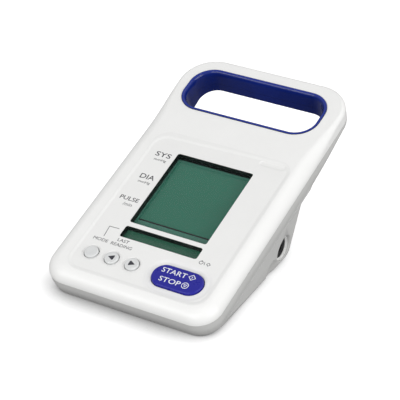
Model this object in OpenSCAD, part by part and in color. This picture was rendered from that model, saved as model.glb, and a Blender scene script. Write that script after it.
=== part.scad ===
// Professional blood pressure monitor, desk unit, in millimetres.
// It stands on a desk: X to its right, Y towards its back, Z up.
// Pieces of the face are drawn with the face flat at z = 0 and the body below it,
// then leaned back by the tilt. Pieces of the base are drawn level, from the underside up.

/* [Body] */
// Width of the body at its widest contour
body_w = 123; // [120:0.5:128]
// Length of the body along the face
body_l = 209.6; // [209:0.2:214]
// Thickness of the body at the toe
body_t = 20.5; // [20:0.25:21]
// Thickness of the body above the wedge
mid_t = 21.9; // [21.5:0.1:22.5]
// Thickness of the body at the top of the handle
top_t = 14.2; // [14:0.1:16]
// Where the back starts to slope towards the top of the handle
slope_y = 140; // [136:1:144]
// Angle between the face and the desk, in degrees
tilt = 18.7; // [18:0.1:20]
// Radius of the two corners beside the handle
top_r = 24; // [22:0.5:25]
// Radius of the two corners nearest the user
toe_r = 16; // [15:0.5:18]
// Radius of the soft shoulder round the face
shoulder_r = 9; // [8.5:0.25:9.5]
// Radius of the edge round the back of the body
back_r = 2.5; // [2:0.25:3]
// Draft of the body's sides below the parting line, in degrees
slab_draft = 3; // [2:0.25:4]
// Wall of both cases
wall = 2.4; // [2:0.1:2.6]

/* [Wedge] */
// Draft of the wedge's sides, in degrees
side_draft = 9.3; // [8:0.1:10]
// Where the underside leaves the back of the body, along the face
toe_y = 5; // [4:0.5:8]
// Where the rear wall meets the desk plane, from the front
rear_y = 118.4; // [118:0.2:121]
// Lean of the rear wall, in degrees
rear_lean = 13.5; // [11:0.5:14]
// Radius of the rear bottom edge
rear_r = 9; // [8:0.5:10]
// Chamfer of the underside's long edges
floor_edge = 2; // [1.5:0.25:2.5]

/* [Handle] */
// Width of the handle opening, outside its blue ring
grip_w = 102.8; // [100:0.2:103]
// Height of the handle opening along the face, outside its ring
grip_l = 40.8; // [39.6:0.2:41.4]
// Middle of the handle opening, across the face
grip_x = -1.2; // [-1.4:0.1:0]
// Distance from the middle of the handle opening to the top of the body
grip_from_top = 30.4; // [30.4:0.2:34.4]
// Corner radius of the handle opening
grip_r = 16.5; // [15:0.5:18]
// Wall of the blue ring behind its lip
ring_wall = 3.2; // [2.6:0.1:3.6]
// Narrowing of the ring towards the back, on each side
ring_draft = 0.9; // [0.4:0.1:1.2]
// Radius of the ring's rounded lip
lip_r = 2.2; // [1.8:0.1:2.4]
// Height of the lip above the face
lip_proud = 0.5; // [0.3:0.1:0.8]
// Wall of the case round the handle opening
collar = 1.8; // [1.5:0.1:2]

/* [Face] */
// Middle of the overlay panel, across the face
panel_x = 2.5; // [0:0.5:3]
// Width of the overlay panel
panel_w = 101; // [99:0.5:102]
// Lower edge of the panel along the face
panel_low = 8; // [8:0.5:10]
// Upper edge of the panel along the face
panel_high = 135; // [130:0.5:136]
// Corner radius of the panel
panel_r = 11; // [9:0.5:13]
// Thickness of the panel
panel_t = 0.9; // [0.8:0.05:1.1]
// Depth of the dished rings round the keys
dish = 0.5; // [0.3:0.05:0.6]
// Width of the dished rings round the small keys
key_dish = 2.6; // [2:0.1:3]
// Width of the dished ring round the large key
start_dish = 4; // [3:0.25:4.5]

/* [Display] */
// Middle of both windows, across the face
window_x = 2.4; // [2:0.2:3]
// Width of both windows
window_w = 56; // [54:0.2:57]
// Lower edge of the large window
main_low = 54.7; // [54:0.1:55.5]
// Upper edge of the large window
main_high = 119.2; // [117:0.2:120]
// Lower edge of the narrow window
strip_low = 41.8; // [41:0.1:43]
// Upper edge of the narrow window
strip_high = 51.4; // [50:0.1:51.6]
// Corner radius of both windows
window_r = 1.6; // [1:0.1:2]
// Depth of the display glass behind the face
glass_depth = 4.7; // [4.4:0.1:5]
// Thickness of the display glass
glass_t = 2.2; // [1.8:0.1:2.4]
// Margin of the display glass past the windows
glass_edge = 3.2; // [2.6:0.1:3.6]
// Wall of the display frame
frame_wall = 1.8; // [1.4:0.1:2]

/* [Keys] */
// Diameter of the three small keys
key_d = 9.2; // [8.8:0.1:10]
// Place of the small keys along the face
key_y = 23.9; // [23.5:0.1:24.5]
// Place of the middle small key across the face
key_x = -20.4; // [-21:0.1:-19.8]
// Distance between the small keys
key_pitch = 14.9; // [14.5:0.1:15.2]
// Height of the small keys above the face
key_proud = 0.8; // [0.5:0.1:1]
// Width of the large key
start_w = 35; // [33:0.2:35.6]
// Height of the large key along the face
start_l = 16.8; // [16:0.2:17.4]
// Place of the large key across the face
start_x = 27.7; // [27.3:0.1:28.5]
// Place of the large key along the face
start_y = 23.1; // [22.5:0.1:23.5]
// Height of the large key above the face
start_proud = 1.2; // [0.8:0.1:1.5]
// Travel of every key
travel = 1; // [0.8:0.1:1.2]
// Gap round every key in its hole
key_gap = 0.35; // [0.3:0.05:0.5]

/* [Cuff socket] */
// Diameter of the round recess in the right side
recess_d = 17; // [15:0.1:17.4]
// Depth of the recess
recess_h = 4.2; // [4:0.1:5]
// Distance from the socket's axis to the foot of the rear wall
jack_from_rear = 12.8; // [12:0.2:13]
// Height of the socket's axis above the underside
jack_z = 11.8; // [10.8:0.1:12]
// Radius of the hole that takes the hose plug
jack_bore_r = 3.1; // [2.8:0.1:3.3]
// Depth of the hole that takes the hose plug
jack_bore_h = 10; // [9:0.25:10.5]

/* [Battery] */
// Diameter of one cell
cell_d = 14.2; // [14:0.1:14.5]
// Length of one cell
cell_l = 50.2; // [49.5:0.1:50.5]
// Number of cells
cell_count = 4; // [4:1:4]
// Thickness of the sleeve round the cells
sleeve_t = 0.3; // [0.2:0.05:0.4]
// Room round the battery in its bay
bay_gap = 0.5; // [0.3:0.1:0.6]
// Wall of the battery bay
bay_wall = 1.5; // [1.2:0.1:1.6]
// Middle of the battery, across the base
battery_x = -17; // [-18:0.5:-16.5]
// Distance from the rear of the battery to the foot of the rear wall
battery_from_rear = 8; // [7.5:0.25:9]
// Thickness of the battery cover
cover_t = 1.9; // [1.7:0.1:2.1]

/* [Pump] */
// Diameter of the pump motor
motor_d = 20.4; // [19:0.2:21]
// Length of the pump motor
motor_l = 26; // [24:0.5:27]
// Width and height of the pump head
head_w = 24; // [23:0.25:25]
// Length of the pump head
head_l = 17; // [16:0.25:18]
// Middle of the pump, across the base
pump_x = 26; // [25.5:0.25:26.5]
// Thickness of the rubber cradle under the pump
cushion_t = 1.5; // [1.2:0.1:1.8]

/* [Board] */
// Depth of the board's upper side behind the face
board_depth = 9.4; // [9.3:0.1:9.6]
// Thickness of the board
board_t = 1.6; // [1.4:0.1:1.8]
// Distance from each side of the body to the board
board_side = 14.5; // [14:0.25:15.5]
// Lower edge of the board along the face
board_low = 14; // [13:0.5:15]
// Upper edge of the board along the face
board_high = 125; // [123:0.5:126]

/* [Fasteners and feet] */
// Diameter of the case screws' thread
screw_d = 3; // [2.8:0.1:3]
// Diameter of the case screws' head
screw_head_d = 5.4; // [5.2:0.1:5.6]
// Diameter of the rubber feet
foot_d = 7; // [6.5:0.25:7.5]
// Height of the feet below the underside
foot_h = 1.2; // [1:0.1:1.5]
// Radius of the threaded hole in the stand inserts
insert_r = 1.65; // [1.6:0.05:2]
// Distance between the two stand inserts
insert_pitch = 50; // [46:1:54]
// Distance from the front to the stand inserts
insert_y = 34; // [32:0.5:36]
// Outer diameter of the air hoses
hose_d = 4; // [3.6:0.1:4.2]

/* [Hidden] */
$fn = 48;

// Small clearances
fit = 0.15;
seat = 0.3;
tiny = 0.02;

// Shoulder and back edge
arc_steps = 6;
corner_steps = 12;
back_in = back_inset(body_t);
slope_from = slope_y - back_inset(mid_t);
slope_to = body_l - back_inset(top_t);
slope_angle = atan((mid_t - top_t) / (slope_to - slope_from));

// Place of the body: height of the face's lower edge above the underside, and the middle of its depth
lift = body_t * cos(tilt) - toe_y * sin(tilt);
front_most = min([for (l = shoulder_layers(0, shoulder_r)) l[1] * cos(tilt) - l[0] * sin(tilt)]);
rear_most = max([for (l = back_layers(0, top_t)) (body_l - l[1]) * cos(tilt) - l[0] * sin(tilt)]);
shift_y = -(front_most + rear_most) / 2;

// Inside of the ring, as [depth, inset from its outside], from the front to the back
void_top = lip_proud + 1;
void_low = -mid_t - 1;
lip_steps = 6;
void_profile = concat([[void_top, ring_wall - lip_r]],
  [for (i = [0 : lip_steps]) let (a = 90 * i / lip_steps)
    [lip_proud - lip_r * (1 - cos(a)), ring_wall - lip_r * (1 - sin(a))]],
  [[void_low, ring_wall + ring_draft]]);

// Face
grip_y = body_l - grip_from_top;
panel_l = panel_high - panel_low;
panel_y = (panel_high + panel_low) / 2;
main_y = (main_high + main_low) / 2;
main_l = main_high - main_low;
strip_y = (strip_high + strip_low) / 2;
strip_l = strip_high - strip_low;
window_y = (main_high + strip_low) / 2;
glass_w = window_w + 2 * glass_edge;
glass_l = main_high - strip_low + 2 * glass_edge;
flange_t = 1;
flange_edge = 1.3;
mat_t = 1;
dome_h = 1.3;
mat_top = -board_depth + mat_t + dome_h;
stem_end = mat_top + travel + 0.1;

// Screw places: four beside the wedge, two beside the panel's top, two in the handle
post_d = 7;
post_x = body_w / 2 - 9.6;
post_low = board_low + 2;
post_mid = 74;
post_top = grip_y - grip_l / 2 - 9;
post_grip_x = 22;
post_grip_y = grip_y + grip_l / 2 + collar + 2.9;
posts = [[post_x, post_low], [-post_x, post_low], [post_x, post_mid], [-post_x, post_mid],
  [post_x, post_top], [-post_x, post_top]];
grip_posts = [[post_grip_x, post_grip_y], [-post_grip_x, post_grip_y]];
grip_post_d = 6.2;
head_depth = 3.6;
screw_head_t = 2;
screw_tip = 4.2;

// Board and its screws
board_w = body_w - 2 * board_side;
board_screw_x = board_w / 2 - 3.5;
board_holes = [[board_screw_x, 46], [-board_screw_x, 46], [board_screw_x, 121], [-board_screw_x, 121]];
board_back = board_depth + board_t;

// Places of the two sensors along the back of the board
sensor_y = [80, 92];

// Places of the motor's and the valve's connectors
lead_x = [19, 33];
lead_y = 57;

// Battery, from the rear of the pack towards the front
pack_l = cell_l + 2 * sleeve_t + 1.6;
pack_w = cell_count * cell_d + 2 * sleeve_t;
pack_h = cell_d + 2 * sleeve_t;
pack_y = rear_y - battery_from_rear - pack_w / 2;
pack_low = cover_t + seat;
bay_l = pack_l + 2 * bay_gap;
bay_w = pack_w + 2 * bay_gap;
bay_h = pack_low + pack_h + bay_gap;
cover_side = 1.4;
cover_w = bay_l + 2 * cover_side;
cover_front = pack_y - bay_w / 2 - 3;
cover_lip = 7;

// Pump
pump_z = wall + cushion_t + head_w / 2;
head_y = rear_y - 5.5 - head_l / 2;
motor_y = head_y - head_l / 2 - motor_l / 2;
port_d = 3;
port_l = 5;
port_pitch = 4.6;
pump_port_y = head_y - 3;

// Cuff socket
jack_y = rear_y - jack_from_rear;
jack_face_x = side_x(jack_y, jack_z);
recess_x = jack_face_x - recess_h;
jack_flange_t = 1.6;
jack_barrel_d = 10.4;
jack_end_x = recess_x - jack_bore_h - 1.4;
jack_elbow_x = jack_end_x + 3.2;
jack_elbow_y = jack_y - jack_barrel_d / 2 - 4;

// Valve and manifold, in front of the socket
manifold_x = jack_elbow_x;
sensor_off = 0.55;
sensor_x = manifold_x - sensor_off;
manifold_l = 14;
manifold_w = 7;
manifold_z = jack_z;
manifold_top = manifold_z + 4;
manifold_y = jack_elbow_y - 8 - manifold_l / 2;
manifold_port = 4;
valve_l = 20;
valve_w = 12;
valve_h = 13;
valve_x = manifold_x - 2.5;
valve_y = manifold_y - manifold_l / 2 - 12 - valve_l / 2;

// Mains inlet, on the left side in front of the battery
dc_y = cover_front - 8;
dc_z = 9;
dc_w = 9;
dc_h = 10;
dc_l = 13;
dc_bore_r = 2.75;
dc_pin_r = 1;
dc_face_x = side_x(dc_y, dc_z);

// Feet and inserts
foot_in = 1;
foot_front_y = 15;
foot_rear_y = rear_y - 15;
insert_l = 6;
insert_out_r = 2.8;

// Colours
white = [0.93, 0.93, 0.92];
grey = [0.78, 0.78, 0.77];
blue = [0.09, 0.11, 0.5];
dark = [0.08, 0.08, 0.09];
green = [0.25, 0.48, 0.39];

// Inset of the outline at each depth behind the face, as [depth, inset]
function shoulder_layers(off, r) = [for (i = [0 : arc_steps]) let (a = 90 * i / arc_steps)
  [-r + (r - off) * sin(a), r - (r - off) * cos(a)]];
function back_inset(thick) = (thick - back_r - shoulder_r) * tan(slab_draft) + back_r;
function back_layers(off, thick) = [for (i = [0 : arc_steps]) let (a = 90 * i / arc_steps)
  [-(thick - back_r) - (back_r - off) * sin(a), back_inset(thick) - (back_r - off) * cos(a)]];

// Depth of the back of the body, and the depth where a screw's head sits
function back_at(y) = y < slope_from ? body_t + (mid_t - body_t) * y / slope_from
  : mid_t - (y - slope_from) * tan(slope_angle);
function seat_at(y) = min(body_t, back_at(y)) - head_depth;

// Depth behind the face of a point of the base, and the outer wall's distance from the middle there
function depth_at(y, z) = y * sin(tilt) - (z - lift) * cos(tilt);
function side_at(depth) = body_w / 2 - (depth - shoulder_r) * tan(side_draft);
function side_x(y, z) = side_at(depth_at(y, z));
function rear_at(z) = rear_y + z * tan(rear_lean);

// Sweep of a round hose or wire along its points
function unit(a) = a / norm(a);
function heading(p, i) = i == 0 ? unit(p[1] - p[0])
  : i == len(p) - 1 ? unit(p[i] - p[i - 1])
  : unit(unit(p[i] - p[i - 1]) + unit(p[i + 1] - p[i]));
function ring(p, i, r, sides, ref) = let (t = heading(p, i), a = unit(cross(t, ref)), b = cross(t, a))
  [for (k = [0 : sides - 1]) p[i] + r * (a * cos(360 * k / sides) + b * sin(360 * k / sides))];
function quad(i, k, sides) = let (n = (k + 1) % sides)
  [[i * sides + k, (i + 1) * sides + n, i * sides + n], [i * sides + k, (i + 1) * sides + k, (i + 1) * sides + n]];
// Points between two bends, so that each bend is rounded in three steps
function bend(p, i, r) = let (a = p[i] + unit(p[i - 1] - p[i]) * r, b = p[i] + unit(p[i + 1] - p[i]) * r)
  [for (s = [0 : 3]) let (u = s / 3) a * (1 - u) * (1 - u) + p[i] * 2 * u * (1 - u) + b * u * u];
function rounded(p, r) = concat([p[0]],
  [for (i = [1 : len(p) - 2]) each bend(p, i, r)], [p[len(p) - 1]]);

module on_face() {
  translate([0, shift_y, lift + foot_h])
    rotate([tilt, 0, 0])
      children();
}

module on_desk() {
  translate([0, shift_y, foot_h])
    children();
}

module along(path, r, bend_r, sides = 10, ref = [0.3, 0.2, 0.93]) {
  p = rounded(path, bend_r);
  n = len(p);
  points = [for (i = [0 : n - 1]) each ring(p, i, r, sides, ref)];
  walls = [for (i = [0 : n - 2]) for (k = [0 : sides - 1]) each quad(i, k, sides)];
  ends = [[for (k = [0 : sides - 1]) k], [for (k = [sides - 1 : -1 : 0]) (n - 1) * sides + k]];
  polyhedron(points, concat(walls, ends));
}

// Rounded rectangle about its middle, as a flat shape
module pill(w, l, r) {
  square([w - 2 * r, l], center = true);
  square([w, l - 2 * r], center = true);
  for (x = [-1, 1])
    for (y = [-1, 1])
      translate([x * (w / 2 - r), y * (l / 2 - r)])
        circle(r = r);
}

// Rounded rectangle from one depth to another behind the face
module pill_between(x, y, w, l, r, low, high) {
  translate([x, y, low])
    linear_extrude(high - low)
      pill(w, l, r);
}

// Thin rounds at one depth behind the face, one on each side
module side_discs(y, r, depth, inset) {
  for (s = [-1, 1])
    translate([s * (body_w / 2 - r), y, depth])
      cylinder(r = r - inset, h = tiny);
}

// Points of one corner of the body's outline, a quarter turn from the given angle
function corner(x, y, r, from, depth) = [for (k = [0 : corner_steps]) let (a = from + 90 * k / corner_steps)
  [x + r * cos(a), y + r * sin(a), depth]];
// Outline of the body at one depth behind the face, drawn in by an inset
function outline(depth, inset) = concat(
  corner(body_w / 2 - toe_r, toe_r, toe_r - inset, -90, depth),
  corner(body_w / 2 - top_r, body_l - top_r, top_r - inset, 0, depth),
  corner(top_r - body_w / 2, body_l - top_r, top_r - inset, 90, depth),
  corner(toe_r - body_w / 2, toe_r, toe_r - inset, 180, depth));

// Upper half of the flat body with its soft shoulder, shrunk by the given wall
module slab_front(off) {
  layers = concat([[-shoulder_r - 1, off]], shoulder_layers(off, shoulder_r));
  last = len(layers) - 1;
  sides = 4 * (corner_steps + 1);
  points = [for (l = layers) each outline(l[0], l[1])];
  walls = [for (i = [0 : last - 1]) for (k = [0 : sides - 1]) each quad(i, k, sides)];
  ends = [[for (k = [0 : sides - 1]) k], [for (k = [sides - 1 : -1 : 0]) last * sides + k]];
  polyhedron(points, concat(walls, ends));
}

// Lower half of the flat body, from just above the parting line down to its sloping back
module slab_rear(off) {
  hull() {
    side_discs(body_l - top_r, top_r, 1 - shoulder_r, off);
    side_discs(toe_r, toe_r, 1 - shoulder_r, off);
    for (l = back_layers(off, top_t))
      side_discs(body_l - top_r, top_r, l[0], l[1]);
    for (l = back_layers(off, mid_t))
      side_discs(slope_y - 4, 4, l[0], l[1]);
    for (l = back_layers(off, body_t))
      side_discs(toe_r, toe_r, l[0], l[1]);
  }
}

// Wedge below the body, in the base's own place, shrunk by the given wall
module wedge_form(off) {
  top_depth = body_t - 1.5 - 2 * off;
  top_half = side_at(top_depth) - off;
  top_back = (rear_at(lift - top_depth * cos(tilt)) - top_depth * sin(tilt))
    / (cos(tilt) - tan(rear_lean) * sin(tilt));
  edge = max(floor_edge - off / 2, 0.6);
  r = rear_r - off;
  rear_z = rear_r;
  rear_mid = rear_at(rear_z) - rear_r / cos(rear_lean);
  hull() {
    translate([0, 0, lift])
      rotate([tilt, 0, 0])
        for (s = [-1, 1]) {
          translate([s * (top_half - toe_r + 3), toe_r - 3 + back_in + off, -top_depth])
            cylinder(r = toe_r - 3, h = tiny);
          translate([s * (top_half - 4), top_back - 4 - off, -top_depth])
            cylinder(r = 4, h = tiny);
        }
    for (s = [-1, 1]) {
      for (step = [[0, edge], [edge, 0]]) {
        z = off + step[0];
        translate([s * (side_x(toe_r + 8, z) - toe_r + 4 - off - step[1]), toe_r + 8, z])
          cylinder(r = toe_r - 4, h = tiny);
      }
      for (step = [[0, 2.6], [0.9, 1], [2.6, 0]])
        translate([s * (side_x(rear_mid, rear_z) - off - step[0]), rear_mid, rear_z])
          rotate([0, s * -90, 0])
            cylinder(r = r - step[1], h = tiny);
    }
  }
}

module wedge_placed(off) {
  rotate([-tilt, 0, 0])
    translate([0, 0, -lift])
      wedge_form(off);
}

// Everything above or below the parting line, as a cutter
module above_parting(gap = 0) {
  translate([-body_w, -body_w, -shoulder_r + gap])
    cube([2 * body_w, 2 * body_l + body_w, 2 * body_t]);
}

module below_parting() {
  translate([-body_w, -body_w, -3 * body_w - shoulder_r])
    cube([2 * body_w, 2 * body_l + body_w, 3 * body_w]);
}

module grip_hole() {
  pill_between(grip_x, grip_y, grip_w, grip_l, grip_r, -2 * body_t, body_t);
}

module grip_collar(low, high) {
  pill_between(grip_x, grip_y, grip_w + 2 * collar, grip_l + 2 * collar, grip_r + collar, low, high);
}

module start_shape(extra, low, high) {
  l = start_l + 2 * extra;
  pill_between(start_x, start_y, start_w + 2 * extra, l, l / 2 - tiny, low, high);
}

module small_key_places() {
  for (i = [-1 : 1])
    translate([key_x + i * key_pitch, key_y, 0])
      children();
}

module panel_shape(extra, low, high) {
  pill_between(panel_x, panel_y, panel_w + 2 * extra, panel_l + 2 * extra, panel_r + extra, low, high);
  start_shape(start_dish + 2.4 + extra, low, high);
}

module windows(extra, low, high) {
  pill_between(window_x, main_y, window_w + 2 * extra, main_l + 2 * extra, window_r, low, high);
  pill_between(window_x, strip_y, window_w + 2 * extra, strip_l + 2 * extra, window_r, low, high);
}

module front_case() {
  color(white)
    on_face()
      difference() {
        union() {
          difference() {
            slab_front(0);
            slab_front(wall);
            below_parting();
          }
          grip_collar(-shoulder_r, -wall + tiny);
          for (p = posts)
            translate([p[0], p[1], -shoulder_r])
              cylinder(d = post_d, h = shoulder_r - wall + tiny);
          for (p = grip_posts)
            translate([p[0], p[1], -shoulder_r])
              cylinder(d = grip_post_d, h = shoulder_r - wall + tiny);
          for (p = board_holes)
            translate([p[0], p[1], -board_depth])
              cylinder(d = 6, h = board_depth - wall + tiny);
        }
        grip_hole();
        panel_shape(fit, -panel_t, body_t);
        windows(1.2, -body_t, body_t);
        small_key_places()
          translate([0, 0, -wall - tiny])
            cylinder(d = key_d + 2 * key_gap, h = 2 * wall);
        start_shape(key_gap, -wall - tiny, wall);
        for (p = concat(posts, grip_posts))
          translate([p[0], p[1], -body_t])
            cylinder(d = screw_d + 0.1, h = body_t - screw_tip + 0.4);
        for (p = board_holes)
          translate([p[0], p[1], -body_t])
            cylinder(d = 2.1, h = body_t - 4);
      }
}

module rear_posts() {
  for (p = posts)
    translate([p[0], p[1], -3 * body_t])
      cylinder(d = post_d + 1.6, h = 3 * body_t - shoulder_r - fit);
  for (p = grip_posts)
    translate([p[0], p[1], -3 * body_t])
      cylinder(d = grip_post_d + 1.4, h = 3 * body_t - shoulder_r - fit);
}

module screw_holes() {
  for (p = concat(posts, grip_posts))
    translate([p[0], p[1], 0]) {
      translate([0, 0, -4 * body_t])
        cylinder(d = screw_head_d + 0.5, h = 4 * body_t - seat_at(p[1]));
      translate([0, 0, -body_t])
        cylinder(d = screw_d + 0.5, h = body_t);
    }
}

module rear_case() {
  color(grey)
    on_face()
      difference() {
        union() {
          difference() {
            union() {
              slab_rear(0);
              wedge_placed(0);
            }
            slab_rear(wall);
            wedge_placed(wall);
            above_parting();
          }
          intersection() {
            union() {
              slab_rear(0.5);
              wedge_placed(0.5);
            }
            union() {
              rear_posts();
              grip_collar(-mid_t, -shoulder_r - fit);
              to_face()
                rear_base();
            }
          }
        }
        grip_hole();
        screw_holes();
        to_face()
          rear_cuts();
      }
}

// Takes a piece drawn on the base into the face's own frame
module to_face() {
  rotate([-tilt, 0, 0])
    translate([0, 0, -lift])
      children();
}

// What stands on the floor of the base: battery bay, socket pocket, inlet pocket and insert bosses
module rear_base() {
  translate([battery_x - bay_l / 2 - bay_wall, pack_y - bay_w / 2 - bay_wall, 0])
    cube([bay_l + 2 * bay_wall, bay_w + 2 * bay_wall, bay_h + bay_wall]);
  translate([recess_x - wall, jack_y, jack_z])
    rotate([0, 90, 0])
      cylinder(d = recess_d + 3, h = recess_h + wall + 3);
  translate([-dc_face_x - 1, dc_y - dc_w / 2 - 1.5, 0])
    cube([5, dc_w + 3, dc_z + dc_h / 2 + 1.5]);
  for (s = [-1, 1])
    translate([s * insert_pitch / 2, insert_y, 0])
      cylinder(r = insert_out_r + 1.8, h = insert_l + 1.5);
}

module rear_cuts() {
  translate([battery_x - bay_l / 2, pack_y - bay_w / 2, -1])
    cube([bay_l, bay_w, bay_h + 1]);
  cover_space(fit);
  translate([recess_x, jack_y, jack_z])
    rotate([0, 90, 0])
      cylinder(d = recess_d, h = 3 * recess_h);
  translate([recess_x - 2 * wall, jack_y, jack_z])
    rotate([0, 90, 0])
      cylinder(d = jack_barrel_d + 2 * fit, h = 3 * wall);
  translate([-dc_face_x + 2.5, dc_y - dc_w / 2 - fit, dc_z - dc_h / 2 - fit])
    cube([dc_l, dc_w + 2 * fit, dc_h + 2 * fit]);
  translate([-dc_face_x - 2, dc_y, dc_z])
    rotate([0, 90, 0])
      cylinder(r = dc_bore_r + 1, h = 8);
  for (s = [-1, 1])
    translate([s * insert_pitch / 2, insert_y, -1])
      cylinder(r = insert_out_r, h = insert_l + 1);
  foot_places()
    translate([0, 0, -1])
      cylinder(d = foot_d + 2 * fit, h = foot_in + 1);
}

// Space of the battery cover in the underside and in the foot of the rear wall
module cover_space(gap) {
  translate([battery_x - cover_w / 2 - gap, cover_front - gap, -1])
    cube([cover_w + 2 * gap, 2 * rear_y, 1 + cover_t + gap]);
  translate([battery_x - cover_w / 2 - gap, pack_y + bay_w / 2 + bay_wall, -1])
    cube([cover_w + 2 * gap, rear_y, 1 + cover_lip + gap]);
}

module battery_cover() {
  color(grey)
    on_desk()
      difference() {
        intersection() {
          difference() {
            wedge_form(0);
            wedge_form(cover_t);
          }
          cover_space(0);
        }
        for (i = [0 : 4])
          translate([battery_x - 9, pack_y + bay_w / 2 - 8 - 2.4 * i, -tiny])
            cube([18, 1, 0.5]);
      }
}

module handle_ring() {
  color(blue)
    on_face()
      difference() {
        pill_between(grip_x, grip_y, grip_w - 2 * fit, grip_l - 2 * fit, grip_r - fit,
          -shoulder_r - 1, lip_proud);
        ring_void();
      }
}

module handle_ring_rear() {
  color(blue)
    on_face()
      difference() {
        pill_between(grip_x, grip_y, grip_w - 2 * fit, grip_l - 2 * fit, grip_r - fit,
          -mid_t, -shoulder_r - 1 - fit);
        ring_void();
        behind_back(0.3);
      }
}

// Everything behind the sloping back, as a cutter
module behind_back(gap) {
  translate([0, slope_from, -mid_t - gap])
    rotate([slope_angle, 0, 0])
      translate([-body_w, -body_w, -body_w])
        cube([2 * body_w, 2 * body_w, body_w]);
}

// Open space inside the ring: a rounded lip, then a slow taper to the back
module ring_void() {
  x_half = grip_w / 2 - grip_r;
  y_half = grip_l / 2 - grip_r;
  translate([grip_x, grip_y, 0]) {
    for (x = [-1, 1])
      for (y = [-1, 1])
        translate([x * x_half, y * y_half, 0])
          rotate_extrude()
            polygon(concat([[0, void_top]], [for (p = void_profile) [grip_r - p[1], p[0]]], [[0, void_low]]));
    rotate([90, 0, 90])
      translate([0, 0, -x_half])
        linear_extrude(2 * x_half)
          void_section(grip_l / 2);
    rotate([90, 0, 0])
      translate([0, 0, -y_half])
        linear_extrude(2 * y_half)
          void_section(grip_w / 2);
  }
}

module void_section(half) {
  polygon(concat([for (p = void_profile) [half - p[1], p[0]]],
    [for (i = [len(void_profile) - 1 : -1 : 0]) [void_profile[i][1] - half, void_profile[i][0]]]));
}

module face_panel() {
  color(white)
    on_face()
      difference() {
        panel_shape(0, -panel_t + 0.05, 0);
        windows(0, -body_t, body_t);
        small_key_places() {
          translate([0, 0, -body_t])
            cylinder(d = key_d + 2 * key_gap, h = 2 * body_t);
          translate([0, 0, -dish])
            cylinder(d1 = key_d + 1.6, d2 = key_d + 2 * key_dish + 1, h = dish + 0.1);
        }
        start_shape(key_gap, -body_t, body_t);
        start_shape(start_dish / 2, -dish, 1);
        start_shape(start_dish, -dish / 2, 1);
      }
}

module display_window() {
  color([0.75, 0.85, 0.82, 0.4])
    on_face() {
      windows(-fit, -wall - 0.3, -0.1);
      pill_between(window_x, window_y, glass_w, glass_l, window_r + 1, -wall - 1.2, -wall - 0.1);
    }
}

module lcd_frame() {
  color(dark)
    on_face()
      difference() {
        pill_between(window_x, window_y, glass_w + 2 * frame_wall, glass_l + 2 * frame_wall, 2,
          -board_depth + fit, -wall - 1.3);
        pill_between(window_x, window_y, glass_w + 2 * fit, glass_l + 2 * fit, 0.4, -body_t, -glass_depth + fit);
        windows(0.6, -body_t, body_t);
      }
}

module lcd_glass() {
  color(green)
    on_face()
      pill_between(window_x, window_y, glass_w, glass_l, 0.3, -glass_depth - glass_t, -glass_depth);
}

module lcd_backlight() {
  color([0.9, 0.92, 0.88])
    on_face()
      pill_between(window_x, window_y, glass_w - 6, glass_l - 0.6, 0.5,
        -board_depth + fit, -glass_depth - glass_t - fit);
}

module lcd_contact_strips() {
  color([0.25, 0.25, 0.27])
    on_face()
      for (s = [-1, 1])
        translate([window_x + s * (glass_w / 2 - 1.3) - 0.8, window_y - glass_l / 2 + 2, -board_depth])
          cube([1.6, glass_l - 4, board_depth - glass_depth - glass_t]);
}

// Small round key: dished cap, flange under the case and a stem
module small_key(x) {
  r = key_d / 2;
  on_face()
    translate([x, key_y, 0])
      rotate_extrude()
        polygon([[0, key_proud - 0.25], [r * 0.55, key_proud - 0.12], [r - 0.9, key_proud], [r - 0.35, key_proud - 0.1],
          [r, key_proud - 0.5], [r, -wall - fit], [r + flange_edge, -wall - fit],
          [r + flange_edge, -wall - fit - flange_t], [2, -wall - fit - flange_t],
          [2, stem_end], [0, stem_end]]);
}

module mode_button() {
  color([0.85, 0.85, 0.85])
    small_key(key_x - key_pitch);
}

module back_button() {
  color([0.85, 0.85, 0.85])
    small_key(key_x);
}

module forward_button() {
  color([0.85, 0.85, 0.85])
    small_key(key_x + key_pitch);
}

module start_stop_button() {
  color([0.2, 0.2, 0.6])
    on_face() {
      start_shape(0, -wall - fit - flange_t, start_proud - 0.6);
      start_shape(-0.5, -wall, start_proud - 0.2);
      start_shape(-1.2, -wall, start_proud);
      start_shape(flange_edge, -wall - fit - flange_t, -wall - fit);
      for (s = [-1, 1])
        translate([start_x + s * start_w / 4, start_y, stem_end])
          cylinder(d = 4.4, h = -wall - flange_t - stem_end);
    }
}

// Silicone mat with one dome under each stem
module key_mat() {
  color([0.72, 0.73, 0.74])
    on_face() {
      translate([key_x - key_pitch - 7.5, key_y - 6, -board_depth])
        cube([start_x + start_w / 2 - key_x + key_pitch + 6, 12, mat_t]);
      for (x = concat([for (i = [-1 : 1]) key_x + i * key_pitch], [for (s = [-1, 1]) start_x + s * start_w / 4]))
        translate([x, key_y > 0 && x > start_x - start_w / 2 ? start_y : key_y, -board_depth + mat_t - tiny])
          cylinder(d1 = 8.6, d2 = 5.2, h = dome_h + tiny);
    }
}

module main_board() {
  color([0.1, 0.35, 0.2])
    on_face()
      difference() {
        pill_between(0, (board_low + board_high) / 2, board_w, board_high - board_low, 3, -board_back, -board_depth - 0.05);
        for (p = board_holes)
          translate([p[0], p[1], -body_t])
            cylinder(d = 2.5, h = body_t);
        for (s = [-1, 1])
          translate([s * post_x, post_low, -body_t])
            cylinder(d = post_d + 3, h = body_t);
        for (s = [-1, 1])
          translate([s * post_x, post_mid, -body_t])
            cylinder(d = post_d + 3, h = body_t);
      }
}

module chip(x, y, w, l, h) {
  translate([x - w / 2, y - l / 2, -board_back - h])
    cube([w, l, h - 0.05]);
}

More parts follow.
